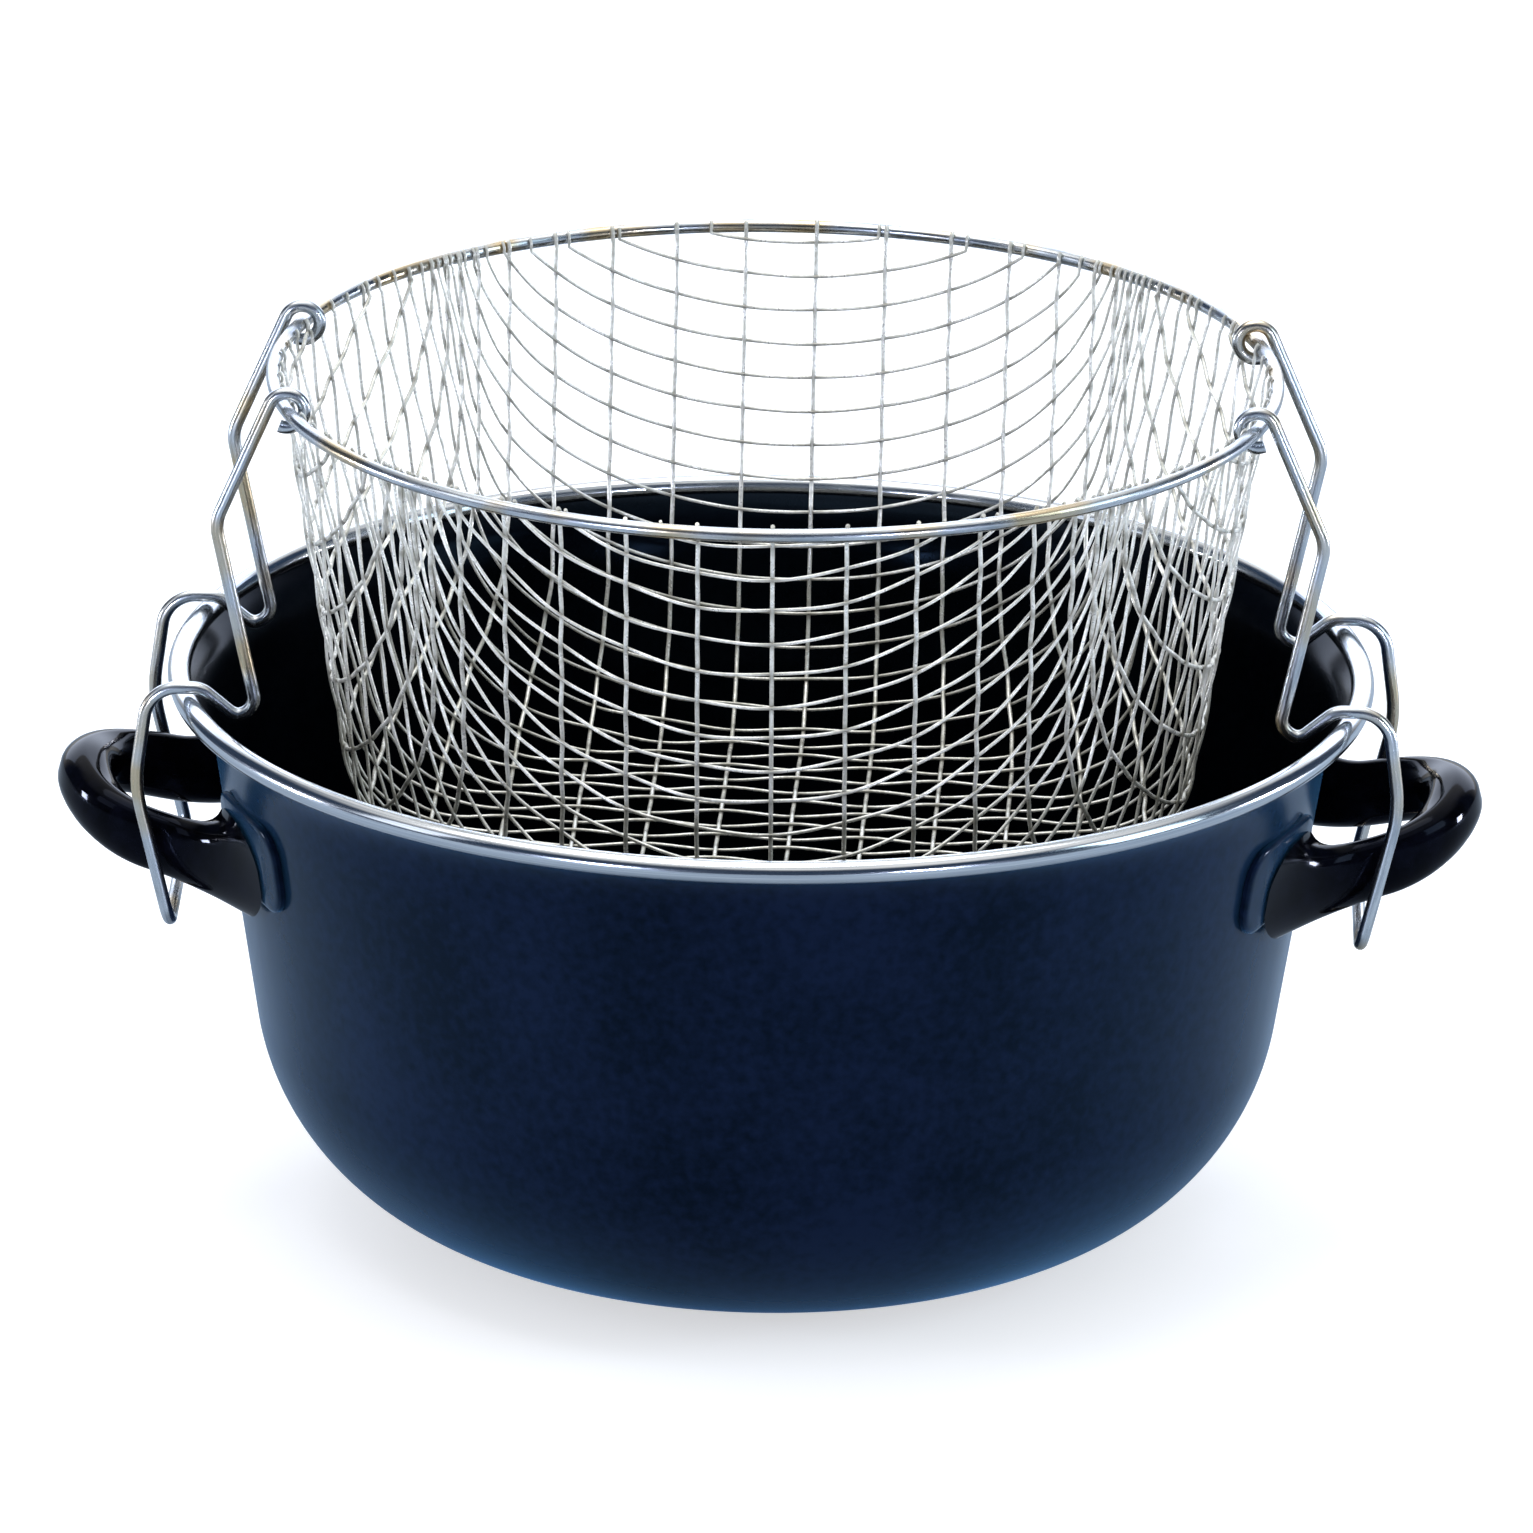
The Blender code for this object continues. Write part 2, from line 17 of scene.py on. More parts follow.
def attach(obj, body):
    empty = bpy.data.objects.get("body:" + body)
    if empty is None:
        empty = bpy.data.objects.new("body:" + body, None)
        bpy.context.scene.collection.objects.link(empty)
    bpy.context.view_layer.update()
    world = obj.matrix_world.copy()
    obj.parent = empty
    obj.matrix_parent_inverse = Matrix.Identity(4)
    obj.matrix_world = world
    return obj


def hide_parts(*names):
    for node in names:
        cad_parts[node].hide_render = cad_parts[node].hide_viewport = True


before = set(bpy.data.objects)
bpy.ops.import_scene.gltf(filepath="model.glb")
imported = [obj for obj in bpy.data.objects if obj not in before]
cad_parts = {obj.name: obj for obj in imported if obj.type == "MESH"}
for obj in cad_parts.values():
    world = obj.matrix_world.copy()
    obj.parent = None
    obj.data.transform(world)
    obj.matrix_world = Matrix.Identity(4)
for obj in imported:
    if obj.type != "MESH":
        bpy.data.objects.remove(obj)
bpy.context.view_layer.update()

LOG = logging.getLogger("fry_pot")

Colour = Tuple[float, float, float, float]   # linear red, green, blue and alpha
Point = Tuple[float, float]                  # a point of an outline, in its own plane
Place = Tuple[float, float, float]           # a point in space
Station = Tuple[Vector, float, float]        # place, metres along its wire, nearness to a crossing
Spot = Tuple[float, float]                   # run and angle of a point on the basket's bowl
Knot = Tuple[float, float, Vector]           # metres along its wire, run on the bowl, place
Net = Dict[Tuple[int, int], Spot]            # a quarter of the cloth, by step numbers

SIGNS = (-1, 1)
STRIP_MAP = "strip"                          # UV map of turned pieces
RUN, CROSSING, TURN = "run", "crossing", "turn"   # attributes of drawn wires
SHARP_EDGE = 35.0                            # degrees; flatter edges are shaded smooth


class Body(Enum):
    """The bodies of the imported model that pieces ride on."""

    POT = "pot"
    BASKET = "basket"
    BAIL_LEFT = "bail_left"
    BAIL_RIGHT = "bail_right"


class Slot(Enum):
    """Names of the pot's material slots."""

    ENAMEL = "enamel"
    PHENOLIC = "phenolic"
    RIM_STEEL = "rim_steel"
    WIRE = "tinned_wire"


class Where(Enum):
    """Where a piece is, as the sign of one of its coordinates."""

    @property
    def word(self) -> str:
        """The name of the place, as the nodes spell it."""
        return self.name.lower()


class Side(Where):
    """The side of the pot that a handle or a bail is on, as the sign of its x."""

    LEFT = -1
    RIGHT = 1


class End(Where):
    """The end of a handle that a bracket is at, as the sign of its y."""

    FRONT = -1
    REAR = 1


# Colours and nodes

def srgb(code: str) -> Colour:
    """Turns an sRGB hex colour into the linear one that shaders take.

    Args:
        code: Six hex digits after a hash.

    Returns:
        Linear red, green and blue, with an alpha of one.
    """
    channels = [int(code[k:k + 2], 16) / 255 for k in (1, 3, 5)]
    red, green, blue = (c / 12.92 if c <= 0.04045 else ((c + 0.055) / 1.055) ** 2.4
                        for c in channels)
    return red, green, blue, 1.0


def per_metre(size_mm: float) -> float:
    """Texture scale that gives a pattern of this size in millimetres."""
    return 1000.0 / size_mm


def add_node(tree: bpy.types.NodeTree, kind: str, inputs: Optional[Dict[Any, Any]] = None,
             **settings: Any) -> bpy.types.Node:
    """Adds one node with its settings, its input values and the links into it.

    Args:
        tree: The tree to add it to.
        kind: Blender's type name of the node.
        inputs: Socket name or number, to a value or to the output socket that feeds it.
        settings: Properties of the node.

    Returns:
        The new node.
    """
    node = tree.nodes.new(kind)
    for name, value in settings.items():
        setattr(node, name, value)
    for key, value in (inputs or {}).items():
        if isinstance(value, bpy.types.NodeSocket):
            tree.links.new(value, node.inputs[key])
        else:
            node.inputs[key].default_value = value
    return node


def grain(tree: bpy.types.NodeTree, where: bpy.types.NodeSocket, inputs: Dict[str, float],
          ends: Tuple[float, float]) -> Tuple[bpy.types.NodeSocket, bpy.types.NodeSocket]:
    """Builds a noise and its share of the way between two of its values.

    Args:
        tree: The tree to build in.
        where: The coordinates that the noise reads.
        inputs: The noise's inputs, such as its scale and detail.
        ends: The noise's values at which the share is 0 and 1.

    Returns:
        The outputs of the noise and of the share.
    """
    noise = add_node(tree, "ShaderNodeTexNoise", {"Vector": where, **inputs}).outputs["Fac"]
    share = add_node(tree, "ShaderNodeMapRange", {
        "Value": noise, "From Min": ends[0], "From Max": ends[1]})
    return noise, share.outputs[0]


# Finishes

@dataclass(frozen=True)
class Layers:
    """Outputs of a finish's patterns. Each runs from 0 to 1, but the relief is a height."""

    tone: bpy.types.NodeSocket
    polish: bpy.types.NodeSocket
    relief: Optional[bpy.types.NodeSocket] = None
    stain_and_shade: Optional[bpy.types.NodeSocket] = None


@dataclass(frozen=True)
class Finish:
    """A material by its real name. Each kind gives the patterns that run its colour and gloss."""

    name: str
    colours: Tuple[str, ...]         # at tone 0, at tone 1, and of the stain where it has one: a real stain on the plated wire, painted shade on the weave
    gloss: Tuple[float, float]       # roughness at polish 0 and at polish 1
    relief_depth: float = 0.0
    stain_and_shade_share: float = 0.0

    def constants(self) -> Dict[str, Any]:
        """The shader's inputs that are the same all over the surface."""
        return {}

    def layers(self, tree: bpy.types.NodeTree) -> Layers:
        """Builds the patterns in the material's tree."""
        raise NotImplementedError(self.name)

    def start(self) -> Tuple[bpy.types.Material, bpy.types.NodeTree, bpy.types.Node]:
        """Starts the material.

        Returns:
            The material, its node tree and its Principled shader with the constants set.
        """
        material = bpy.data.materials.new(self.name)
        material.use_nodes = True
        shader = material.node_tree.nodes["Principled BSDF"]
        for socket, value in self.constants().items():
            shader.inputs[socket].default_value = value
        return material, material.node_tree, shader

    def material(self) -> bpy.types.Material:
        """Builds the material: its colours, gloss and relief, run by its layers.

        Returns:
            The finished material.
        """
        material, tree, shader = self.start()
        layers = self.layers(tree)
        low, high, *stain_and_shade_colours = (srgb(code) for code in self.colours)
        colour = add_node(tree, "ShaderNodeMix", {0: layers.tone, 6: low, 7: high},
                          data_type="RGBA")
        # the stain layer is a real stain on the plated wire, and painted contact shade at the
        # weave's crossings
        if layers.stain_and_shade is not None:
            share = add_node(tree, "ShaderNodeMath", {0: layers.stain_and_shade, 1: self.stain_and_shade_share},
                             operation="MULTIPLY")
            colour = add_node(tree, "ShaderNodeMix", {
                0: share.outputs[0], 6: colour.outputs[2], 7: stain_and_shade_colours[0]}, data_type="RGBA")
        rough = add_node(tree, "ShaderNodeMapRange", {
            "Value": layers.polish, "To Min": self.gloss[0], "To Max": self.gloss[1]})
        tree.links.new(colour.outputs[2], shader.inputs["Base Color"])
        tree.links.new(rough.outputs[0], shader.inputs["Roughness"])
        if layers.relief is not None:
            bump = add_node(tree, "ShaderNodeBump", {
                "Height": layers.relief, "Distance": self.relief_depth, "Strength": 1.0})
            tree.links.new(bump.outputs[0], shader.inputs["Normal"])
        return material


@dataclass(frozen=True)
class VitreousEnamel(Finish):
    """Glass enamel on pressed steel: deep navy with a blue haze, over a slight orange peel."""

    name: str = "vitreous_enamel"
    colours: Tuple[str, ...] = ("#040915", "#0B1429")
    gloss: Tuple[float, float] = (0.15, 0.25)
    relief_depth: float = 0.000012
    mottle_mm: float = 2.4
    cloud_mm: float = 38.0
    peel_mm: float = 5.0
    cloud_range: Tuple[float, float] = (0.3, 0.7)
    tone_range: Tuple[float, float] = (0.75, 1.25)   # of mottle and cloud together
    specular: float = 0.10
    gloss_tint: str = "#7AA0C8"
    haze: float = 0.55
    haze_spread: float = 0.4
    haze_tint: str = "#427FAE"

    def constants(self) -> Dict[str, Any]:
        """Weak, blue-tinted gloss, and the haze as a sheen that gathers at the edges.

        Returns:
            Values by the shader's socket names.
        """
        return {"Specular IOR Level": self.specular, "Specular Tint": srgb(self.gloss_tint),
                "Sheen Weight": self.haze, "Sheen Roughness": self.haze_spread,
                "Sheen Tint": srgb(self.haze_tint)}

    def layers(self, tree: bpy.types.NodeTree) -> Layers:
        """Mottled colour, cloudy gloss and orange peel.

        Args:
            tree: The material's tree.

        Returns:
            The outputs of the patterns.
        """
        place = add_node(tree, "ShaderNodeTexCoord").outputs["Object"]
        mottle = add_node(tree, "ShaderNodeTexNoise", {
            "Vector": place, "Scale": per_metre(self.mottle_mm), "Detail": 3.0})
        cloud, polish = grain(tree, place, {"Scale": per_metre(self.cloud_mm), "Detail": 2.0},
                              self.cloud_range)
        both = add_node(tree, "ShaderNodeMath", {0: mottle.outputs["Fac"], 1: cloud},
                        operation="ADD")
        start, end = self.tone_range
        tone = add_node(tree, "ShaderNodeMapRange", {
            "Value": both.outputs[0], "From Min": start, "From Max": end})
        peel = add_node(tree, "ShaderNodeTexNoise", {
            "Vector": place, "Scale": per_metre(self.peel_mm), "Detail": 1.5})
        return Layers(tone.outputs[0], polish, peel.outputs["Fac"])


@dataclass(frozen=True)
class ShadedInsideEnamel(VitreousEnamel):
    """The same enamel as the outside, on the inside: painted near black as painted shade, and
    without the haze.
    """

    name: str = "vitreous_ground_enamel"
    # painted shade: darker than the outside's colours, though the enamel is the same
    colours: Tuple[str, ...] = ("#010204", "#030509")
    haze: float = 0.0


@dataclass(frozen=True)
class Metal(Finish):
    """A bare metal's shine, with the index of refraction left as it is."""

    metal: float = 1.0

    def constants(self) -> Dict[str, Any]:
        """How much of the surface is metal."""
        return {"Metallic": self.metal}


@dataclass(frozen=True)
class RolledSteel(Metal):
    """Stainless strip rolled round the lip: mirror bright, with faint lines along the roll."""

    name: str = "rolled_stainless_steel"
    colours: Tuple[str, ...] = ("#DDE0E3", "#B4BBC2")
    gloss: Tuple[float, float] = (0.10, 0.22)
    relief_depth: float = 0.000003
    line_mm: float = 0.5             # finer on the real strip, drawn so coarse to show at all
    line_run_mm: float = 60.0
    line_range: Tuple[float, float] = (0.35, 0.65)

    def layers(self, tree: bpy.types.NodeTree) -> Layers:
        """Roll lines that follow the strip, in colour, gloss and relief.

        Args:
            tree: The material's tree.

        Returns:
            The outputs of the patterns.
        """
        strip = add_node(tree, "ShaderNodeUVMap", uv_map=STRIP_MAP)
        along = add_node(tree, "ShaderNodeMapping", {
            "Vector": strip.outputs[0],
            "Scale": (per_metre(self.line_run_mm), per_metre(self.line_mm), 1.0)})
        lines, share = grain(tree, along.outputs[0], {"Scale": 1.0, "Detail": 3.0},
                             self.line_range)
        return Layers(share, share, lines)


@dataclass(frozen=True)
class PlatedWire(Metal):
    """Drawn steel wire with a bright plating: long draw lines, and straw tints from the heat."""

    name: str = "plated_steel_wire"
    colours: Tuple[str, ...] = ("#DCDFE1", "#A3ABB3", "#CDB27C")
    gloss: Tuple[float, float] = (0.18, 0.34)
    stain_and_shade_share: float = 0.7
    line_mm: float = 9.0
    lines_round: float = 9.0
    line_range: Tuple[float, float] = (0.35, 0.7)
    patch_mm: float = 16.0
    patch_range: Tuple[float, float] = (0.5, 0.66)

    def layers(self, tree: bpy.types.NodeTree) -> Layers:
        """Draw lines on the wire's own run and turn, which its tube carries, and straw patches.

        Args:
            tree: The material's tree.

        Returns:
            The outputs of the patterns.
        """
        ways = []
        for label, scale in ((RUN, per_metre(self.line_mm)), (TURN, self.lines_round)):
            way = add_node(tree, "ShaderNodeAttribute", attribute_name=label)
            ways.append(add_node(tree, "ShaderNodeMath", {0: way.outputs["Fac"], 1: scale},
                                 operation="MULTIPLY").outputs[0])
        drawn = add_node(tree, "ShaderNodeCombineXYZ", {0: ways[0], 1: ways[1]}).outputs[0]
        share = grain(tree, drawn, {"Scale": 1.0, "Detail": 3.0}, self.line_range)[1]
        place = add_node(tree, "ShaderNodeTexCoord").outputs["Object"]
        heat = grain(tree, place, {"Scale": per_metre(self.patch_mm), "Detail": 1.0},
                     self.patch_range)[1]
        return Layers(share, share, stain_and_shade=heat)


@dataclass(frozen=True)
class TinnedWeave(Metal):
    """Thin wire woven, then dipped in tin: warm grey silver, darker at the crossings with painted
    contact shade and some gathered tin.
    """

    name: str = "tinned_woven_wire"
    # the third colour is painted contact shade where wires cross, with some gathered tin
    colours: Tuple[str, ...] = ("#EEEDE6", "#CECDC2", "#8A877C")
    gloss: Tuple[float, float] = (0.26, 0.46)
    stain_and_shade_share: float = 0.7
    metal: float = 0.5               # the rest is white tin oxide
    cloud_mm: float = 1.4
    cloud_range: Tuple[float, float] = (0.35, 0.65)

    def layers(self, tree: bpy.types.NodeTree) -> Layers:
        """Cloudy tin, with painted shade darkening it where the tube says that wires cross.

        Args:
            tree: The material's tree.

        Returns:
            The outputs of the patterns.
        """
        place = add_node(tree, "ShaderNodeTexCoord").outputs["Object"]
        share = grain(tree, place, {"Scale": per_metre(self.cloud_mm), "Detail": 2.0},
                      self.cloud_range)[1]
        # painted shade: the nearness to a crossing darkens the tin
        crossing = add_node(tree, "ShaderNodeAttribute", attribute_name=CROSSING)
        return Layers(share, share, stain_and_shade=crossing.outputs["Fac"])


@dataclass(frozen=True)
class PhenolicResin(Finish):
    """Black phenolic resin from a polished mould: wet gloss, with a few hairline rubs."""

    name: str = "moulded_phenolic_resin"
    colours: Tuple[str, ...] = ("#020203", "#06070F")
    gloss: Tuple[float, float] = (0.06, 0.13)
    relief_depth: float = 0.000008
    rub_mm: float = 7.0
    rub_range: Tuple[float, float] = (0.4, 0.7)
    wave_mm: float = 14.0
    specular: float = 0.07
    gloss_tint: str = "#B4C4F0"

    def constants(self) -> Dict[str, Any]:
        """Weak, cool gloss."""
        return {"Specular IOR Level": self.specular, "Specular Tint": srgb(self.gloss_tint)}

    def layers(self, tree: bpy.types.NodeTree) -> Layers:
        """Rubs in colour and gloss, over the mould's slight waves.

        Args:
            tree: The material's tree.

        Returns:
            The outputs of the patterns.
        """
        place = add_node(tree, "ShaderNodeTexCoord").outputs["Object"]
        rubs = grain(tree, place, {
            "Scale": per_metre(self.rub_mm), "Detail": 5.0, "Roughness": 0.7}, self.rub_range)[1]
        waves = add_node(tree, "ShaderNodeTexNoise", {
            "Vector": place, "Scale": per_metre(self.wave_mm), "Detail": 0.0})
        return Layers(rubs, rubs, waves.outputs["Fac"])


@dataclass(frozen=True)
class StudioPaper(Finish):
    """Matt white paper, which the camera sees blown out as on a lit sweep, with its shadow kept."""

    name: str = "studio_paper"
    colours: Tuple[str, ...] = ("#D9DCE0", "#A2AFBD")
    gloss: Tuple[float, float] = (0.9, 0.9)
    lift: float = 0.55

    def constants(self) -> Dict[str, Any]:
        """Matt all over, and white where it is lifted."""
        return {"Roughness": self.gloss[0], "Specular IOR Level": 0.0,
                "Emission Color": (1.0, 1.0, 1.0, 1.0)}

    def material(self) -> bpy.types.Material:
        """Builds the paper, lifted to white for camera rays and in dusk where gloss shows it.

        Returns:
            The finished material.
        """
        material, tree, shader = self.start()
        path = add_node(tree, "ShaderNodeLightPath")
        lit, dusky = (srgb(code) for code in self.colours)
        tone = add_node(tree, "ShaderNodeMix", {
            0: path.outputs["Is Glossy Ray"], 6: lit, 7: dusky}, data_type="RGBA")
        lift = add_node(tree, "ShaderNodeMath", {0: path.outputs["Is Camera Ray"], 1: self.lift},
                        operation="MULTIPLY")
        tree.links.new(tone.outputs[2], shader.inputs["Base Color"])
        tree.links.new(lift.outputs[0], shader.inputs["Emission Strength"])
        return material


@dataclass
class Finishes:
    """The finishes of the whole pot, each made once and shared by its pieces."""

    enamel: bpy.types.Material = field(default_factory=lambda: VitreousEnamel().material())
    inside: bpy.types.Material = field(default_factory=lambda: ShadedInsideEnamel().material())
    steel: bpy.types.Material = field(default_factory=lambda: RolledSteel().material())
    wire: bpy.types.Material = field(default_factory=lambda: PlatedWire().material())
    weave: bpy.types.Material = field(default_factory=lambda: TinnedWeave().material())
    resin: bpy.types.Material = field(default_factory=lambda: PhenolicResin().material())


# Outlines and meshes

def arc(centre: Point, radius: float, start: float, end: float, count: int) -> List[Point]:
    """Points of an arc in a plane.

    Args:
        centre: The arc's centre.
        radius: Its radius.
        start: First angle, in degrees.
        end: Last angle, in degrees.
        count: Steps between them.

    Returns:
        The points, both ends included.
    """
    points = []
    for k in range(count + 1):
        angle = math.radians(start + (end - start) * k / count)
        points.append((centre[0] + radius * math.cos(angle), centre[1] + radius * math.sin(angle)))
    return points


def rounded_box(across: float, tall: float, radii: Sequence[float], steps: int) -> List[Point]:
    """Outline of a box with round corners, anticlockwise from its right side.

    Args:
        across: Half its width.
        tall: Half its height.
        radii: The corners' radii, from the upper right one on.
        steps: Steps round each corner.

    Returns:
        The outline's points.
    """
    points = []
    corners = ((1, 1, 0), (-1, 1, 90), (-1, -1, 180), (1, -1, 270))
    for (sx, sz, start), radius in zip(corners, radii):
        middle = (sx * (across - radius), sz * (tall - radius))
        points += arc(middle, radius, start, start + 90, steps)
    return points


def mirrored(places: Sequence[Vector]) -> List[Vector]:
    """The same places in reverse order, on the other side of the XZ plane."""
    return [Vector((p.x, -p.y, p.z)) for p in reversed(places)]


def ease(share: float) -> float:
    """A smooth step from 0 to 1."""
    share = min(max(share, 0.0), 1.0)
    return share * share * (3 - 2 * share)


def add_piece(piece: bpy.types.Object, body: Body, nodes: Sequence[str]) -> None:
    """Ties a finished piece to its body and the nodes that it stands for.

    Args:
        piece: The finished object, at the origin.
        body: The body that it rides on.
        nodes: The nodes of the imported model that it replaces.
    """
    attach(piece, body.value)
    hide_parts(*nodes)
    LOG.info("%s: %d faces, on %s", piece.name, len(piece.data.polygons), body.value)


def new_piece(name: str, vertices: Sequence[Any], faces: Sequence[Sequence[int]],
              material: bpy.types.Material) -> bpy.types.Object:
    """Makes an object at the origin from vertices in their final places.

    Args:
        name: The piece's name.
        vertices: The places of its vertices.
        faces: Its faces, wound outwards.
        material: Its material.

    Returns:
        The object, linked into the scene.
    """
    mesh = bpy.data.meshes.new(name)
    mesh.from_pydata([tuple(v) for v in vertices], [], [list(f) for f in faces])
    mesh.materials.append(material)
    mesh.shade_smooth()
    mesh.set_sharp_from_angle(angle=math.radians(SHARP_EDGE))
    mesh.update()
    piece = bpy.data.objects.new(name, mesh)
    bpy.context.scene.collection.objects.link(piece)
    return piece


@dataclass
class Lathe:
    """Turns an outline about the pot's axis, with a map of metres round and along it."""

    segments: int = 192
    map_radius: float = 0.125        # where a metre on the map is a metre round the rim
    axis_room: float = 1e-9          # nearer the axis than this, a ring is one vertex

    def turn(self, name: str, outline: Sequence[Point], material: bpy.types.Material,
             closed: bool, inside: Optional[bpy.types.Material] = None) -> bpy.types.Object:
        """Turns the outline.

        Args:
            name: The piece's name.
            outline: Points of (radius, z), with the solid on the left.
            material: Its material.
            closed: True where the last point joins the first.
            inside: Material of the second half of the outline, where it has its own.

        Returns:
            The turned piece.
        """
        vertices: List[Place] = []
        rings = []
        for radius, z in outline:
            count = 1 if radius < self.axis_room else self.segments
            rings.append([len(vertices) + k for k in range(count)])
            for k in range(count):
                angle = 2 * math.pi * k / self.segments
                vertices.append((radius * math.cos(angle), radius * math.sin(angle), z))
        pairs = list(zip(rings, rings[1:]))
        if closed:
            pairs.append((rings[-1], rings[0]))
        faces = []
        corners: List[Point] = []
        run = 0.0
        stride = 2 * math.pi * self.map_radius / self.segments
        for p, (low, high) in enumerate(pairs):
            reach = run + math.dist(outline[p], outline[(p + 1) % len(outline)])
            for k in range(self.segments):
                after = (k + 1) % self.segments
                here, there = stride * k, stride * (k + 1)
                quad = {low[k % len(low)]: (here, run), low[after % len(low)]: (there, run),
                        high[after % len(high)]: (there, reach), high[k % len(high)]: (here, reach)}
                if len(quad) > 2:
                    faces.append(list(quad))
                    corners += list(quad.values())
            run = reach
        piece = new_piece(name, vertices, faces, material)
        layer = piece.data.uv_layers.new(name=STRIP_MAP)
        for spot, place in zip(layer.data, corners):
            spot.uv = place
        if inside:
            piece.data.materials.append(inside)
            for face in piece.data.polygons[len(faces) // 2:]:
                face.material_index = 1
        return piece


def skin(name: str, sections: Sequence[Sequence[Vector]],
         material: bpy.types.Material) -> bpy.types.Object:
    """Joins closed sections with equal, even numbers of points into one solid.

    Args:
        name: The piece's name.
        sections: The sections in order, wound to face outwards.
        material: Its material.

    Returns:
        The piece, with strips for caps.
    """
    count = len(sections[0])
    last = (len(sections) - 1) * count
    faces = []
    for k in range(count // 2 - 1):
        strip = [k, k + 1, count - 2 - k, count - 1 - k]
        faces.append(strip[::-1])
        faces.append([last + corner for corner in strip])
    for first in range(0, last, count):
        for k in range(count):
            here, after = first + k, first + (k + 1) % count
            faces.append([here, after, after + count, here + count])
    return new_piece(name, [p for section in sections for p in section], faces, material)


@dataclass
class WireDrawer:
    """Geometry Nodes that draw a round wire along every run of edges."""

    name: str = "draw_wire"

    def tree(self) -> bpy.types.NodeTree:
        """Builds the node group, with the wire's radius, facets and finish as named inputs.

        Returns:
            The group.
        """
        group = bpy.data.node_groups.new(self.name, "GeometryNodeTree")
        for label, way, kind in (
                ("Geometry", "INPUT", "Geometry"), ("Wire Radius", "INPUT", "Float"),
                ("Facets", "INPUT", "Int"), ("Finish", "INPUT", "Material"),
                ("Geometry", "OUTPUT", "Geometry")):
            group.interface.new_socket(name=label, in_out=way, socket_type="NodeSocket" + kind)
        given = add_node(group, "NodeGroupInput")
        path = add_node(group, "GeometryNodeMeshToCurve", {"Mesh": given.outputs["Geometry"]})
        ring = add_node(group, "GeometryNodeCurvePrimitiveCircle", {
            "Resolution": given.outputs["Facets"], "Radius": given.outputs["Wire Radius"]})
        turn = add_node(group, "GeometryNodeSplineParameter")
        marked = add_node(group, "GeometryNodeStoreNamedAttribute", {
            "Geometry": ring.outputs["Curve"], "Name": TURN, "Value": turn.outputs["Factor"]},
            data_type="FLOAT", domain="POINT")
        tube = add_node(group, "GeometryNodeCurveToMesh", {
            "Curve": path.outputs["Curve"], "Profile Curve": marked.outputs["Geometry"],
            "Fill Caps": True})
        smooth = add_node(group, "GeometryNodeSetShadeSmooth", {"Geometry": tube.outputs["Mesh"]})
        whole = add_node(group, "GeometryNodeRealizeInstances", {
            "Geometry": smooth.outputs["Geometry"]})
        dressed = add_node(group, "GeometryNodeSetMaterial", {
            "Geometry": whole.outputs["Geometry"], "Material": given.outputs["Finish"]})
        add_node(group, "NodeGroupOutput", {"Geometry": dressed.outputs["Geometry"]})
        return group

    def draw(self, name: str, runs: Sequence[Sequence[Station]], radius: float, facets: int,
             material: bpy.types.Material, closed: bool = False) -> bpy.types.Object:
        """Draws wires of one thickness as one plain mesh.

        Args:
            name: The piece's name.
            runs: Each wire's stations: place, metres along it, and nearness to a crossing.
            radius: The wire's radius.
            facets: Facets round it.
            material: Its finish.
            closed: True for rings.

        Returns:
            The piece, at the origin.
        """
        places: List[Vector] = []
        edges = []
        for run in runs:
            first = len(places)
            places += [station[0] for station in run]
            edges += [(k, k + 1) for k in range(first, len(places) - 1)]
            if closed:
                edges.append((len(places) - 1, first))
        mesh = bpy.data.meshes.new(name + "_path")
        mesh.from_pydata([tuple(p) for p in places], edges, [])
        for label, column in ((RUN, 1), (CROSSING, 2)):
            values = mesh.attributes.new(name=label, type="FLOAT", domain="POINT").data
            for value, station in zip(values, (s for run in runs for s in run)):
                value.value = station[column]
        path = bpy.data.objects.new(name + "_path", mesh)
        bpy.context.scene.collection.objects.link(path)
        group = self.tree()
        modifier = path.modifiers.new("wire", "NODES")
        modifier.node_group = group
        wanted = {"Wire Radius": radius, "Facets": facets, "Finish": material}
        for socket in group.interface.items_tree:
            if socket.item_type == "SOCKET" and socket.in_out == "INPUT" and socket.name in wanted:
                modifier[socket.identifier] = wanted[socket.name]
        graph = bpy.context.evaluated_depsgraph_get()
        drawn = bpy.data.meshes.new_from_object(path.evaluated_get(graph), depsgraph=graph)
        bpy.data.objects.remove(path, do_unlink=True)
        drawn.name = name
        piece = bpy.data.objects.new(name, drawn)
        bpy.context.scene.collection.objects.link(piece)
        return piece


def stations_along(places: Sequence[Vector]) -> List[Station]:
    """Stations of a plain wire, with the metres run so far and no crossings.

    Args:
        places: The wire's points in order.

    Returns:
        A station for each.
    """
    run = 0.0
    stations = [(places[0], 0.0, 0.0)]
    for before, after in zip(places, places[1:]):
        run += (after - before).length
        stations.append((after, run, 0.0))
    return stations


# Pot

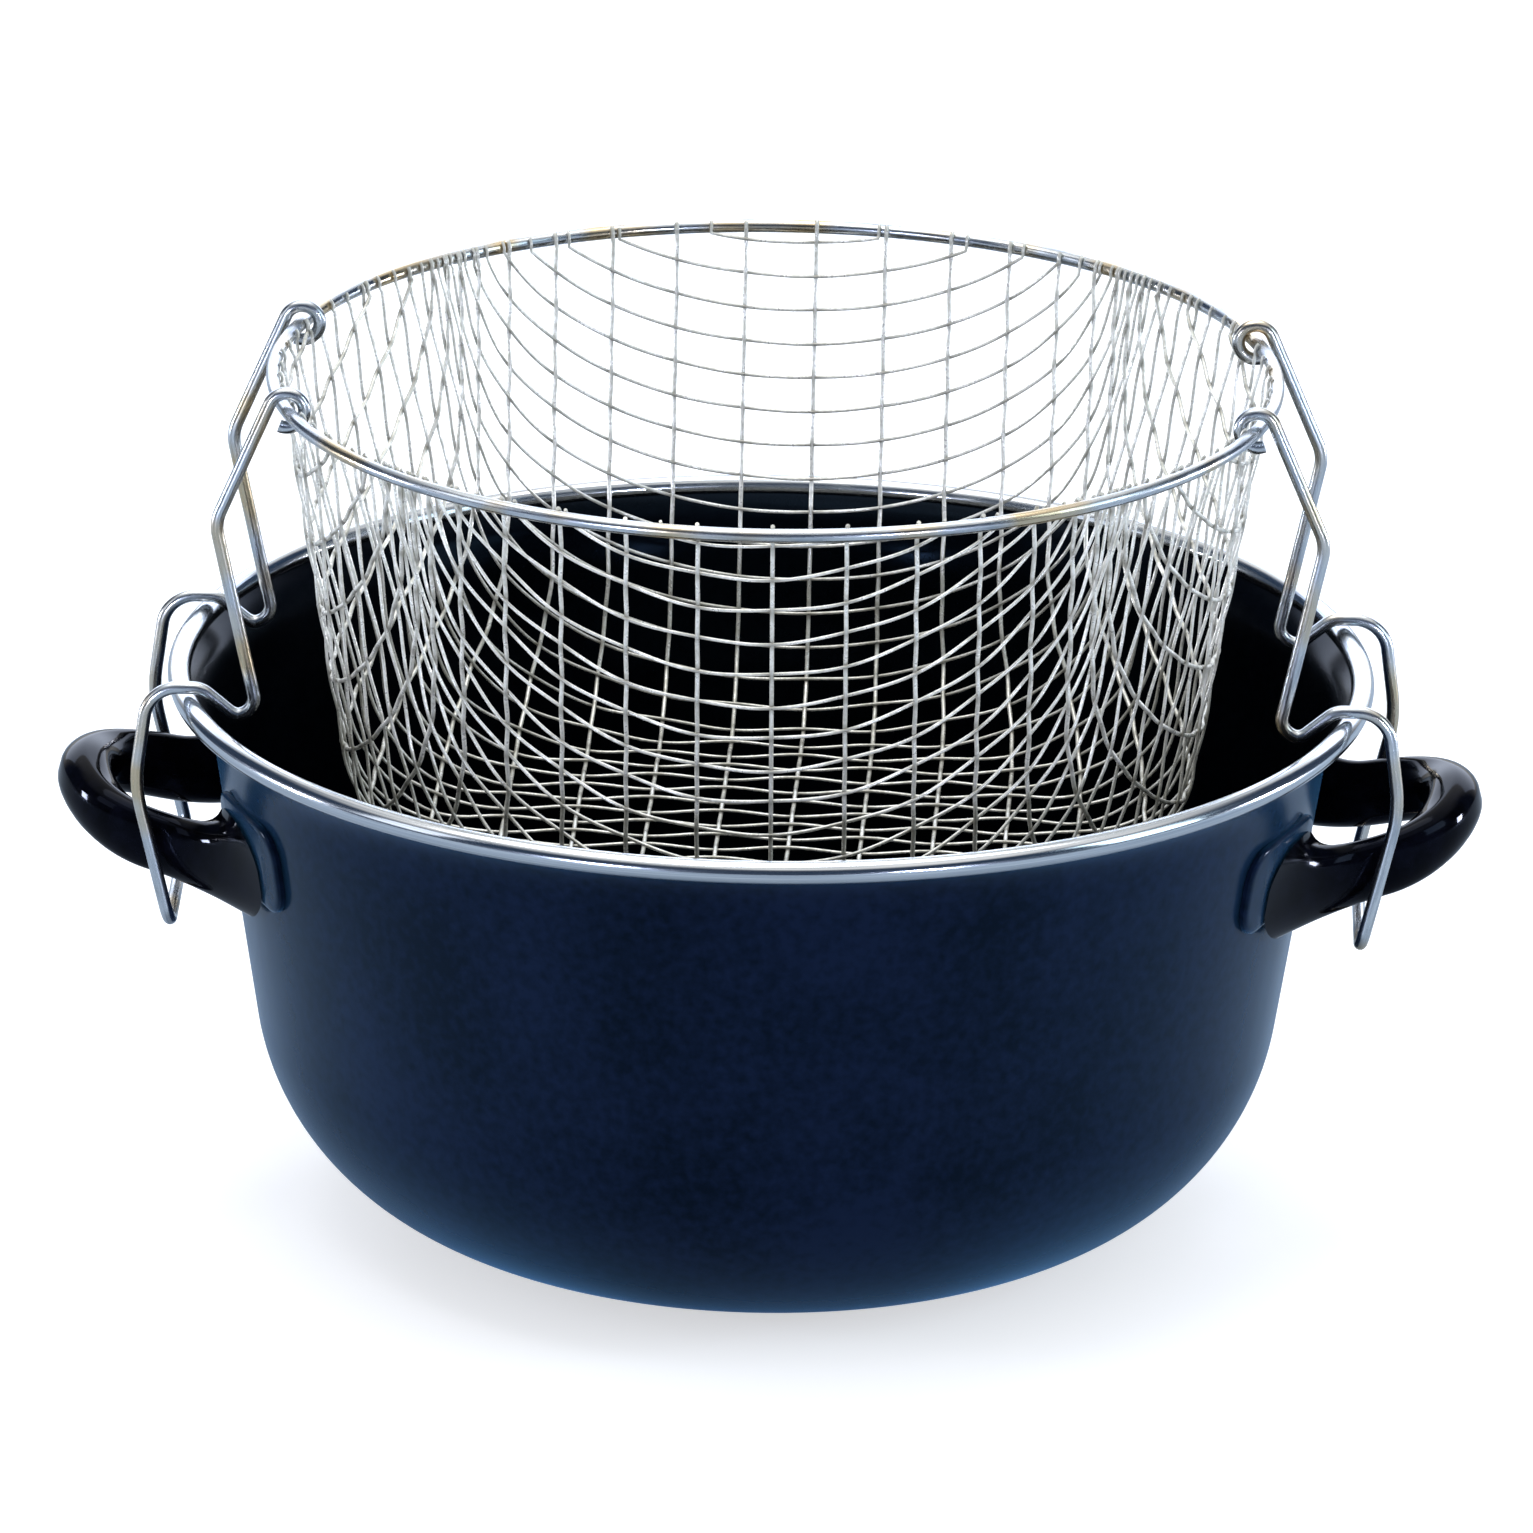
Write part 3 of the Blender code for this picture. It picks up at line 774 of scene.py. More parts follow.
@dataclass
class Pot:
    """The enamelled bowl and the steel strip rolled round its lip."""

    rim_diameter: float = 0.260
    height: float = 0.1244
    sheet: float = 0.0012
    lip_overhang: float = 0.0075
    lip_height: float = 0.015
    lip_rise: float = 40.0
    lip_pulls: Tuple[float, float] = (0.009, 0.006)
    lean: float = 8.8
    belly: float = 0.054
    bead: float = 0.0025
    strip: float = 0.0005
    slit_room: float = 0.0003
    edge_back: float = 0.0006
    recess_radius: float = 0.046
    recess_height: float = 0.0006
    recess_ramp: float = 0.004
    ramp_steps: int = 6
    belly_steps: int = 40
    lip_steps: int = 16
    bead_steps: Tuple[int, int] = (40, 20)      # outside and inside the strip

    @property
    def rim_radius(self) -> float:
        """Radius of the bead's middle."""
        return self.rim_diameter / 2 - self.bead

    @property
    def rim_z(self) -> float:
        """Height of the bead's middle."""
        return self.height - self.bead

    def wall_radius(self, z: float) -> float:
        """Outside radius of the leaning wall at height z."""
        slope = math.tan(math.radians(self.lean))
        return self.rim_radius - self.lip_overhang - (self.rim_z - self.lip_height - z) * slope

    def outline(self) -> List[Tuple[Point, Point]]:
        """Outer outline of the bowl from the axis to the edge in the bead.

        Returns:
            Places as (radius, z), each with its outward normal.
        """
        slope = math.radians(self.lean)
        top = (self.rim_radius - self.lip_overhang, self.rim_z - self.lip_height)
        middle_r = top[0] - (top[1] - self.belly) * math.tan(slope) - self.belly / math.cos(slope)
        points = [((0.0, self.recess_height), (0.0, -1.0))]
        for k in range(self.ramp_steps + 1):
            share = k / self.ramp_steps
            radius = self.recess_radius + self.recess_ramp * share
            points.append(((radius, self.recess_height * (1 - ease(share))), (0.0, -1.0)))
        for k in range(self.belly_steps + 1):
            angle = -math.pi / 2 + (math.pi / 2 - slope) * k / self.belly_steps
            normal = (math.cos(angle), math.sin(angle))
            place = (middle_r + self.belly * normal[0], self.belly * (1 + normal[1]))
            points.append((place, normal))
        points.append((top, (math.cos(slope), -math.sin(slope))))
        return points + self.lip(top, slope)

    def lip(self, start: Point, slope: float) -> List[Tuple[Point, Point]]:
        """The flared lip as a cubic curve.

        Args:
            start: Top of the leaning wall.
            slope: The wall's lean, in radians.

        Returns:
            Places after the start, each with its outward normal.
        """
        rise = math.radians(self.lip_rise)
        ahead = Vector((math.cos(rise), math.sin(rise)))
        below = Vector((math.sin(rise), -math.cos(rise)))
        rim = Vector((self.rim_radius, self.rim_z))
        end = rim - ahead * self.edge_back + below * self.sheet / 2
        first = Vector(start)
        posts = [first, first + Vector((math.sin(slope), math.cos(slope))) * self.lip_pulls[0],
                 end - ahead * self.lip_pulls[1], end]
        points = []
        for k in range(1, self.lip_steps + 1):
            t = k / self.lip_steps
            weights = ((1 - t) ** 3, 3 * t * (1 - t) ** 2, 3 * t * t * (1 - t), t ** 3)
            place = sum((w * p for w, p in zip(weights, posts)), Vector((0.0, 0.0)))
            pulls = ((1 - t) ** 2, 2 * t * (1 - t), t * t)
            run = sum((w * (b - a) for w, a, b in zip(pulls, posts, posts[1:])), Vector((0.0, 0.0)))
            run.normalize()
            points.append((tuple(place), (run.y, -run.x)))
        return points

    def build(self, lathe: Lathe, finishes: Finishes) -> None:
        """Builds and dresses the bowl and the strip.

        Args:
            lathe: Turns the outlines.
            finishes: The shared finishes.
        """
        outline = self.outline()
        outer = [place for place, _ in outline]
        inner = [(max(p[0] - self.sheet * n[0], 0.0), p[1] - self.sheet * n[1]) for p, n in outline]
        bowl = lathe.turn("pot_bowl", outer + inner[::-1], finishes.enamel, closed=False,
                          inside=finishes.inside)
        add_piece(bowl, Body.POT, ["pot_shell"])
        centre = (self.rim_radius, self.rim_z)
        entry = 180.0 + self.lip_rise
        room = self.sheet / 2 + self.slit_room
        hollow = self.bead - self.strip
        outside = math.degrees(math.asin(room / self.bead))
        inside = math.degrees(math.asin(room / hollow))
        section = arc(centre, self.bead, entry + outside, entry + 360 - outside, self.bead_steps[0])
        section += arc(centre, hollow, entry + 360 - inside, entry + inside, self.bead_steps[1])
        strip = lathe.turn("rim_strip", section, finishes.steel, closed=True)
        add_piece(strip, Body.POT, ["rim_band"])


# Handles and brackets

@dataclass
class SideHandle:
    """One bowed resin bar on two flared feet."""

    pot: Pot
    side: Side
    reach: float = 0.0239
    rise: float = 13.6
    tip_drop: float = 0.026
    thickness: float = 0.0115
    height: float = 0.0125
    inner_height: float = 0.0060
    inner_drop: float = 0.0030
    inner_hang: float = 0.5
    arm_height: float = 0.0170
    arm_half_width: float = 0.0256
    bow_radius: float = 0.0225
    foot_drop: float = 0.0324
    foot_spread: float = 0.0395
    foot_width: float = 0.028
    foot_height: float = 0.0222
    foot_room: float = 0.0021
    flare_power: float = 2.5
    corner_radii: Tuple[float, float, float, float] = (0.0046, 0.0050, 0.0040, 0.0050)
    corner_steps: int = 7
    face_bulge: float = 0.24
    arm_steps: int = 24
    arm_crowding: float = 1.3        # more than 1 sets the arm's sections closer at the foot
    bow_steps: int = 30

    @property
    def tip(self) -> Vector:
        """Middle of the bar at the tip."""
        x = self.pot.rim_diameter / 2 + self.reach - self.thickness / 2
        return Vector((x, 0.0, self.pot.rim_z - self.tip_drop))

    def middle_line(self) -> List[Tuple[Vector, Vector, float, float]]:
        """Half the bar's middle line in its own plane, from the wall to the tip.

        Returns:
            Place, outward direction, share of the arm's depth and share of the flare.
        """
        slope = math.radians(self.rise)
        lean = math.tan(math.radians(self.pot.lean))
        steep = lean * math.tan(slope)
        base = self.pot.wall_radius(self.tip.z - self.tip.x * math.tan(slope))
        square = 1 - steep ** 2
        x = (base * steep + math.sqrt(base ** 2 - square * self.arm_half_width ** 2)) / square
        root = Vector(((x - self.tip.x) / math.cos(slope), self.arm_half_width))
        centre = Vector((-self.bow_radius, 0.0))
        across = root - centre
        angle = math.atan2(across.y, across.x) - math.acos(self.bow_radius / across.length)
        outward = Vector((math.cos(angle), math.sin(angle)))
        start = centre + outward * self.bow_radius
        line = []
        for k in range(self.arm_steps + 1):
            share = (k / self.arm_steps) ** self.arm_crowding
            line.append((root.lerp(start, share), outward, 1.0, (1 - share) ** self.flare_power))
        for k in range(1, self.bow_steps + 1):
            share = k / self.bow_steps
            turn = angle * (1 - share)
            facing = Vector((math.cos(turn), math.sin(turn)))
            line.append((centre + facing * self.bow_radius, facing, 1 - ease(share), 0.0))
        return line

    def outer_share(self, across: float) -> float:
        """How far a place across the bar lies from its inner side to its outer face."""
        return 0.5 + across / self.thickness

    def narrowed(self, section: Sequence[Point], arm_share: float) -> List[Point]:
        """Makes a section's inner side lower and less tall.

        Args:
            section: The bar's full section, as (outward, up).
            arm_share: How far so: 1 on the arms, 0 at the tip.

        Returns:
            The section, with as many points.
        """
        lost = (1 - self.inner_height / self.height) * arm_share
        sink = self.inner_drop * arm_share
        narrow = []
        for across, rise in section:
            inwards = 1 - self.outer_share(across)
            narrow.append((across, rise * (1 - lost * inwards) - sink * inwards))
        return narrow

    def bar(self) -> List[Point]:
        """The bar's full section: a crowned outer face over a round belly.

        Returns:
            Its points, as (outward, up).
        """
        tall = self.height / 2
        box = rounded_box(self.thickness / 2, tall, self.corner_radii, self.corner_steps)
        return [(x * (1 - self.face_bulge * (z / tall) ** 2) if x > 0 else x, z) for x, z in box]

    def on_wall(self, along: float, z: float, clear: float) -> Vector:
        """A place just off the wall.

        Args:
            along: Distance along the wall from the X axis.
            z: Its height.
            clear: Distance off the wall.

        Returns:
            The place, on the side of positive x.
        """
        turn = along / self.pot.wall_radius(self.pot.rim_z - self.foot_drop)
        reach = self.pot.wall_radius(z) + clear
        return Vector((reach * math.cos(turn), reach * math.sin(turn), z))

    def half_sections(self) -> List[List[Vector]]:
        """Sections of half the bar, from its foot on the bracket to its tip.

        Returns:
            The sections, each wound alike.
        """
        slope = math.radians(self.rise)
        out = Vector((math.cos(slope), 0.0, math.sin(slope)))
        up = Vector((-math.sin(slope), 0.0, math.cos(slope)))
        full = self.bar()
        foot_z = self.pot.rim_z - self.foot_drop
        foot = [self.on_wall(self.foot_spread + across * self.foot_width / self.thickness,
                             foot_z + rise * self.foot_height / self.height, self.foot_room)
                for across, rise in full]
        sections: List[List[Vector]] = []
        flare: List[Vector] = []
        for place, outward, depth, spread in self.middle_line():
            section = []
            for (across, rise), (_, level) in zip(self.narrowed(full, depth), full):
                spot = place + outward * across
                hang = self.inner_hang + (1 - self.inner_hang) * self.outer_share(across)
                deeper = (self.arm_height - self.height) * depth * hang
                drop = deeper * ease(-2 * level / self.height)
                section.append(self.tip + out * spot.x + Vector((0.0, spot.y, 0.0))
                               + up * (rise - drop))
            flare = flare or [after - before for before, after in zip(section, foot)]
            sections.append([p + shift * spread for p, shift in zip(section, flare)])
        return sections

    def build(self, finishes: Finishes) -> None:
        """Builds and dresses the bar.

        Args:
            finishes: The shared finishes.
        """
        half = self.half_sections()
        sections = half + [mirrored(section)[::-1] for section in half[-2::-1]]
        if self.side is Side.LEFT:
            sections = [[Vector((-p.x, -p.y, p.z)) for p in section] for section in sections]
        bar = skin("side_handle_" + self.side.word, sections, finishes.resin)
        add_piece(bar, Body.POT, ["handle_" + self.side.word])


@dataclass
class Bracket:
    """The enamelled plate on the wall behind one foot of a handle."""

    handle: SideHandle
    end: End
    gap: float = 0.0003
    sheet: float = 0.0015
    width: float = 0.035
    shift: float = 0.0055
    rise: float = 0.0045
    height: float = 0.0198
    corner: float = 0.007
    least_corner: float = 0.0005
    corner_steps: int = 8
    rings: Tuple[Tuple[float, float], ...] = (       # inset from the edge, and share of the sheet
        (0.0, 0.0), (0.0, 0.3), (0.0, 0.62), (0.00035, 0.86), (0.0009, 0.98), (0.0018, 1.0),
        (0.0060, 0.94))

    def loop(self, inset: float) -> List[Point]:
        """The plate's rounded outline, drawn in by an inset.

        Args:
            inset: Metres inside the edge.

        Returns:
            Points as (along, up), the same number for every inset.
        """
        radius = max(self.corner - inset, self.least_corner)
        return rounded_box(self.width / 2 - inset, self.height / 2 - inset, [radius] * 4,
                           self.corner_steps)

    def build(self, finishes: Finishes) -> None:
        """Builds and dresses the plate.

        Args:
            finishes: The shared finishes.
        """
        middle_z = self.handle.pot.rim_z - self.handle.foot_drop + self.rise
        middle_along = self.handle.foot_spread + self.shift
        side, end = self.handle.side.value, self.end.value
        sections = []
        for inset, share in self.rings:
            places = [self.handle.on_wall(middle_along + along, middle_z + up,
                                          self.gap + self.sheet * share)
                      for along, up in self.loop(inset)]
            section = [Vector((side * p.x, end * p.y, p.z)) for p in places]
            sections.append(section if side * end > 0 else section[::-1])
        name = "bracket_" + self.handle.side.word + "_" + self.end.word
        plate = skin(name, sections, finishes.enamel)
        add_piece(plate, Body.POT, ["handle_" + name])


# Basket

@dataclass
class Hoop:
    """The thick wire hoop at the basket's mouth, butt-welded at the back."""

    pot: Pot
    room: float = 0.020
    hang: float = 0.067
    wire: float = 0.003
    steps: int = 256
    facets: int = 16

    @property
    def radius(self) -> float:
        """Radius of the wire's middle."""
        return self.pot.rim_radius - self.room

    @property
    def z(self) -> float:
        """Height of the wire's middle."""
        return self.pot.rim_z + self.hang

    def build(self, drawer: WireDrawer, finishes: Finishes) -> None:
        """Builds and dresses the hoop.

        Args:
            drawer: Draws the wire.
            finishes: The shared finishes.
        """
        places = []
        for k in range(self.steps):
            turn = 2 * math.pi * k / self.steps
            x, y = self.radius * math.cos(turn), self.radius * math.sin(turn)
            places.append(Vector((x, y, self.z)))
        hoop = drawer.draw("basket_hoop", [stations_along(places)], self.wire / 2, self.facets,
                           finishes.wire, closed=True)
        add_piece(hoop, Body.BASKET, ["basket_rim"])


@dataclass
class BowlForm:
    """The round bowl that the woven wire is pressed into, measured along its side from the axis."""

    hoop: Hoop
    depth: float = 0.107
    lean: float = 9.2
    corner: float = 0.0275
    inset: float = 0.0021
    thickness: float = 0.0012
    top_drop: float = 0.0009

    def __post_init__(self) -> None:
        """Works out where the base ends, where the wall starts and where it ends."""
        slope = math.radians(self.lean)
        self.slope = slope
        self.bend = self.corner - self.thickness / 2
        self.base_z = self.hoop.z - self.depth + self.thickness / 2
        top_r, top_z = self.hoop.radius - self.inset, self.hoop.z - self.top_drop
        self.bend_z = self.base_z + self.bend
        self.flat = top_r - (top_z - self.bend_z) * math.tan(slope) - self.bend / math.cos(slope)
        self.wall_start = self.flat + self.bend * (math.pi / 2 - slope)
        wall_height = top_z - self.bend_z + self.bend * math.sin(slope)
        self.top = self.wall_start + wall_height / math.cos(slope)

    def profile(self, run: float) -> Tuple[float, float, float, float]:
        """The bowl's side at a distance from the axis.

        Args:
            run: Metres along the side, from the middle of the base.

        Returns:
            Radius, height, and the side's direction in both.
        """
        if run < self.flat:
            return run, self.base_z, 1.0, 0.0
        if run < self.wall_start:
            turn = (run - self.flat) / self.bend
            radius = self.flat + self.bend * math.sin(turn)
            height = self.bend_z - self.bend * math.cos(turn)
            return radius, height, math.cos(turn), math.sin(turn)
        rest = run - self.wall_start
        radius = self.flat + self.bend * math.cos(self.slope) + rest * math.sin(self.slope)
        height = self.bend_z - self.bend * math.sin(self.slope) + rest * math.cos(self.slope)
        return radius, height, math.sin(self.slope), math.cos(self.slope)

    def place(self, run: float, turn: float) -> Place:
        """The point of the bowl at a run and an angle about the axis."""
        radius, height = self.profile(run)[:2]
        return radius * math.cos(turn), radius * math.sin(turn), height

    def normal(self, run: float, turn: float) -> Vector:
        """The outward normal at a run and an angle about the axis."""
        along_r, along_z = self.profile(run)[2:]
        return Vector((along_z * math.cos(turn), along_z * math.sin(turn), -along_r))


@dataclass(frozen=True)
class WireSet:
    """The wires of the cloth that run in one direction."""

    piece: str
    pitch: float
    shift: float                     # place of the first wire on the positive side
    parts: int                       # steps of the net in one spacing
    radius: float
    facets: int


@dataclass
class WovenMesh:
    """Square-woven wire cloth pressed into the bowl, its ends curled over the hoop.

    The cloth keeps its wire spacing along each wire and shears between them, as the real one does
    in the press, so its squares turn to narrow diamonds halfway between the two wire directions.
    """

    form: BowlForm
    bail: "Bail"
    warp: WireSet = WireSet("basket_weave_long", 0.0156, 0.0043, 4, 0.00048, 7)
    weft: WireSet = WireSet("basket_weave_cross", 0.00755, 0.0040, 2, 0.00037, 6)
    weft_crimp: float = 0.00054
    turn: float = -1.2
    room: float = 0.00035
    tries: int = 40
    settled: float = 1e-12
    least_spread: float = 1e-15
    calm_run: float = 0.002
    calm_turn: float = 0.035
    first_step: float = 0.002
    fine_parts: int = 2
    # how sharply the painted shade gathers at each crossing
    mark_power: int = 8
    least_stations: int = 4
    curl_start: float = 196.0
    curl_end: float = 128.0
    curl_spread: float = 10.0
    curl_steps: int = 5
    curl_run: float = 0.001
    # share of the painted contact shade given to the curls round the hoop
    curl_mark: float = 0.3
    seed: int = 11
    seed_steps: float = 1e4

    def steps(self, wires: WireSet, sign: int) -> Tuple[List[float], List[int]]:
        """Steps of the net across a set of wires, from the axis outwards on one side.

        Args:
            wires: The wires that the steps cross.
            sign: Which side of the axis.

        Returns:
            The step lengths, and the numbers of the steps that end on a wire.
        """
        first = wires.shift if sign > 0 else wires.pitch - wires.shift
        count = max(1, round(first / wires.pitch * wires.parts))
        lengths = [first / count] * count
        ends = [count]
        while sum(lengths) < self.form.top + wires.pitch:
            lengths += [wires.pitch / wires.parts] * wires.parts
            ends.append(len(lengths))
        return lengths, ends

    def meet(self, a: Place, b: Place, reach_a: float, reach_b: float, run: float,
             turn: float) -> Optional[Spot]:
        """The point of the bowl at given distances from two others, found by repeated steps.

        Args:
            a: The first known point.
            b: The second known point.
            reach_a: Distance from the first.
            reach_b: Distance from the second.
            run: First guess of the point's run.
            turn: First guess of its angle.

        Returns:
            Its run and angle, or None where the steps don't settle.
        """
        for _ in range(self.tries):
            radius, height, along_r, along_z = self.form.profile(run)
            cos_t, sin_t = math.cos(turn), math.sin(turn)
            place = (radius * cos_t, radius * sin_t, height)
            by_run = (along_r * cos_t, along_r * sin_t, along_z)
            by_turn = (-radius * sin_t, radius * cos_t, 0.0)
            from_a = [p - q for p, q in zip(place, a)]
            from_b = [p - q for p, q in zip(place, b)]
            miss_a = sum(d * d for d in from_a) - reach_a ** 2
            miss_b = sum(d * d for d in from_b) - reach_b ** 2
            if max(abs(miss_a), abs(miss_b)) < self.settled:
                return run, turn
            m00, m01, m10, m11 = (2 * sum(d * e for d, e in zip(away, by))
                                  for away in (from_a, from_b) for by in (by_run, by_turn))
            spread = m00 * m11 - m01 * m10
            if abs(spread) < self.least_spread:
                return None
            step_run = (miss_a * m11 - miss_b * m01) / spread
            step_turn = (miss_b * m00 - miss_a * m10) / spread
            calm = max(1.0, abs(step_run) / self.calm_run, abs(step_turn) / self.calm_turn)
            run -= step_run / calm
            turn -= step_turn / calm
        return None

    def drape(self, across: Sequence[float], along: Sequence[float]) -> Net:
        """Lays a quarter of the net on the bowl, from the middle of its base.

        Args:
            across: Step lengths in x.
            along: Step lengths in y.

        Returns:
            The run and angle of each knot, by its step numbers, where it lies on the bowl.
        """
        net: Net = {(0, 0): (0.0, 0.0)}
        for i in range(1, len(across) + 1):
            net[i, 0] = (sum(across[:i]), 0.0)
        for j in range(1, len(along) + 1):
            net[0, j] = (sum(along[:j]), math.pi / 2)
        limit = self.form.top + self.warp.pitch
        for i in range(1, len(across) + 1):
            for j in range(1, len(along) + 1):
                left, low = net.get((i - 1, j)), net.get((i, j - 1))
                corner = net.get((i - 1, j - 1))
                if None in (left, low, corner) or min(left[0], low[0]) > limit:
                    continue
                a, b, o = (self.form.place(*spot) for spot in (left, low, corner))
                guess = math.atan2(a[1] + b[1] - o[1], a[0] + b[0] - o[0])
                start = max(left[0], low[0]) + self.first_step
                spot = self.meet(a, b, across[i - 1], along[j - 1], start, guess)
                if spot is not None:
                    net[i, j] = spot
        return net

    def wire_runs(self) -> List[List[List[Station]]]:
        """Traces every wire of the cloth.

        Returns:
            The warp wires, which run in y, and the weft wires, which run in x.
        """
        cuts = {(wires, sign): self.steps(wires, sign)
                for wires in (self.warp, self.weft) for sign in SIGNS}
        nets = {(sx, sy): self.drape(cuts[self.warp, sx][0], cuts[self.weft, sy][0])
                for sx in SIGNS for sy in SIGNS}
        warp_crimp = self.warp.radius + self.weft.radius - self.weft_crimp
        sets = []
        for wires, crossed, crimp in ((self.warp, self.weft, warp_crimp),
                                      (self.weft, self.warp, self.weft_crimp)):
            reaches = [cuts[crossed, sign][0] for sign in SIGNS]
            runs = []
            for side in SIGNS:
                for wire, step in enumerate(cuts[wires, side][1]):
                    knots = self.trace(nets, reaches, side, step, wires is self.warp)
                    number = wire if side > 0 else -1 - wire
                    over_first = (number + 1 if wires is self.warp else number) % 2 == 0
                    runs.append(self.weave(knots, crossed, crimp, 1 if over_first else -1))
            sets.append([run for run in runs if run])
        return sets

    def trace(self, nets: Dict[Tuple[int, int], Net], reaches: Sequence[Sequence[float]],
              side: int, step: int, is_warp: bool) -> List[Knot]:
        """Follows one wire through two quarters of the net.

        Args:
            nets: The four quarters.
            reaches: Step lengths along the wire, on its negative and its positive side.
            side: The side of the axis that the wire lies on.
            step: Its step number there.
            is_warp: Whether it runs in y.

        Returns:
            The wire's knots.
        """
        knots: List[Knot] = []
        for sign, lengths in zip(SIGNS, reaches):
            part = []
            for k in range(len(lengths) + 1):
                quarter, knot = (side, sign), (step, k)
                if not is_warp:
                    quarter, knot = quarter[::-1], knot[::-1]
                sx, sy = quarter
                spot = nets[quarter].get(knot)
                if spot is None:
                    break
                x, y, z = self.form.place(*spot)
                part.append((sign * sum(lengths[:k]), spot[0], Vector((sx * x, sy * y, z))))
                if spot[0] > self.form.top:
                    break
            knots = part[::-1] if sign < 0 else knots + part[1:]
        return knots

    def weave(self, knots: Sequence[Knot], crossed: WireSet, crimp: float,
              sign: int) -> List[Station]:
        """Turns a wire's knots into fine stations that pass over and under the wires it crosses.

        Args:
            knots: The wire's knots.
            crossed: The wires that it crosses.
            crimp: How far it leaves the cloth's middle at a crossing.
            sign: 1 if it passes outside the first wire on the positive side, -1 if inside.

        Returns:
            Its stations, from curled end to curled end, or none for a wire too short to draw.
        """
        stations: List[Station] = []
        for k in range(len(knots) - 1):
            around = [knots[min(max(k + d, 0), len(knots) - 1)] for d in (-1, 0, 1, 2)]
            for part in range(self.fine_parts):
                share = part / self.fine_parts
                weights = (-0.5 * share + share ** 2 - 0.5 * share ** 3,
                           1 - 2.5 * share ** 2 + 1.5 * share ** 3,
                           0.5 * share + 2 * share ** 2 - 1.5 * share ** 3,
                           -0.5 * share ** 2 + 0.5 * share ** 3)
                run = sum(w * knot[1] for w, knot in zip(weights, around))
                if run > self.form.top:
                    continue
                spot = sum((w * knot[2] for w, knot in zip(weights, around)), Vector())
                length = around[1][0] + (around[2][0] - around[1][0]) * share
                turn = math.atan2(spot.y, spot.x)
                place = Vector(self.form.place(run, turn)) if run > self.form.flat else spot
                wave = sign * math.cos(math.pi * (length - crossed.shift) / crossed.pitch)
                place = place + self.form.normal(run, turn) * crimp * wave
                # the third value is the painted shade near a crossing
                stations.append((place, length, abs(wave) ** self.mark_power))
        if len(stations) < self.least_stations:
            return []
        turned = Matrix.Rotation(math.radians(self.turn), 3, "Z")
        bent = [(self.clear_eyes(turned @ place), length, mark) for place, length, mark in stations]
        return self.curl(bent[0], -1)[::-1] + bent + self.curl(bent[-1], 1)

    def clear_eyes(self, place: Vector) -> Vector:
        """Moves a point of a wire aside where an eye of a bail passes the cloth.

        Args:
            place: The point.

        Returns:
            The point, clear of the eyes.
        """
        aside = self.bail.wire / 2 + self.warp.radius + self.room
        reach = self.bail.eye_radius + aside
        dy = abs(place.y) - self.bail.half_width
        away = math.hypot(abs(place.x) - self.bail.eye_x, place.z - self.form.hoop.z)
        near = 1 - ease((away - reach) / (2 * reach))
        if near > 0 and abs(dy) < aside * near:
            y = self.bail.half_width + math.copysign(aside * near, dy)
            return Vector((place.x, math.copysign(y, place.y), place.z))
        return place

    def curl(self, end: Station, sign: int) -> List[Station]:
        """Curls a wire's end over the inside of the hoop.

        Args:
            end: The last station on the cloth.
            sign: Which way the distance along the wire grows.

        Returns:
            The stations of the curl.
        """
        place, length, _ = end
        turn = math.atan2(place.y, place.x)
        dice = random.Random(self.seed + round(turn * self.seed_steps))
        last = self.curl_end + dice.uniform(-self.curl_spread, self.curl_spread)
        outward = Vector((math.cos(turn), math.sin(turn), 0.0))
        middle = outward * self.form.hoop.radius + Vector((0.0, 0.0, self.form.hoop.z))
        radius = self.form.hoop.wire / 2 + self.warp.radius
        spots = arc((0.0, 0.0), radius, self.curl_start, last, self.curl_steps)
        return [(middle + outward * x + Vector((0.0, 0.0, z)),
                 length + sign * self.curl_run * (k + 1), self.curl_mark)
                for k, (x, z) in enumerate(spots)]

    def build(self, drawer: WireDrawer, finishes: Finishes) -> None:
        """Builds and dresses the cloth, one piece for each wire direction.

        Args:
            drawer: Draws the wires.
            finishes: The shared finishes.
        """
        for wires, runs in zip((self.warp, self.weft), self.wire_runs()):
            piece = drawer.draw(wires.piece, runs, wires.radius, wires.facets, finishes.weave)
            add_piece(piece, Body.BASKET, ["basket_mesh"])


# Bails

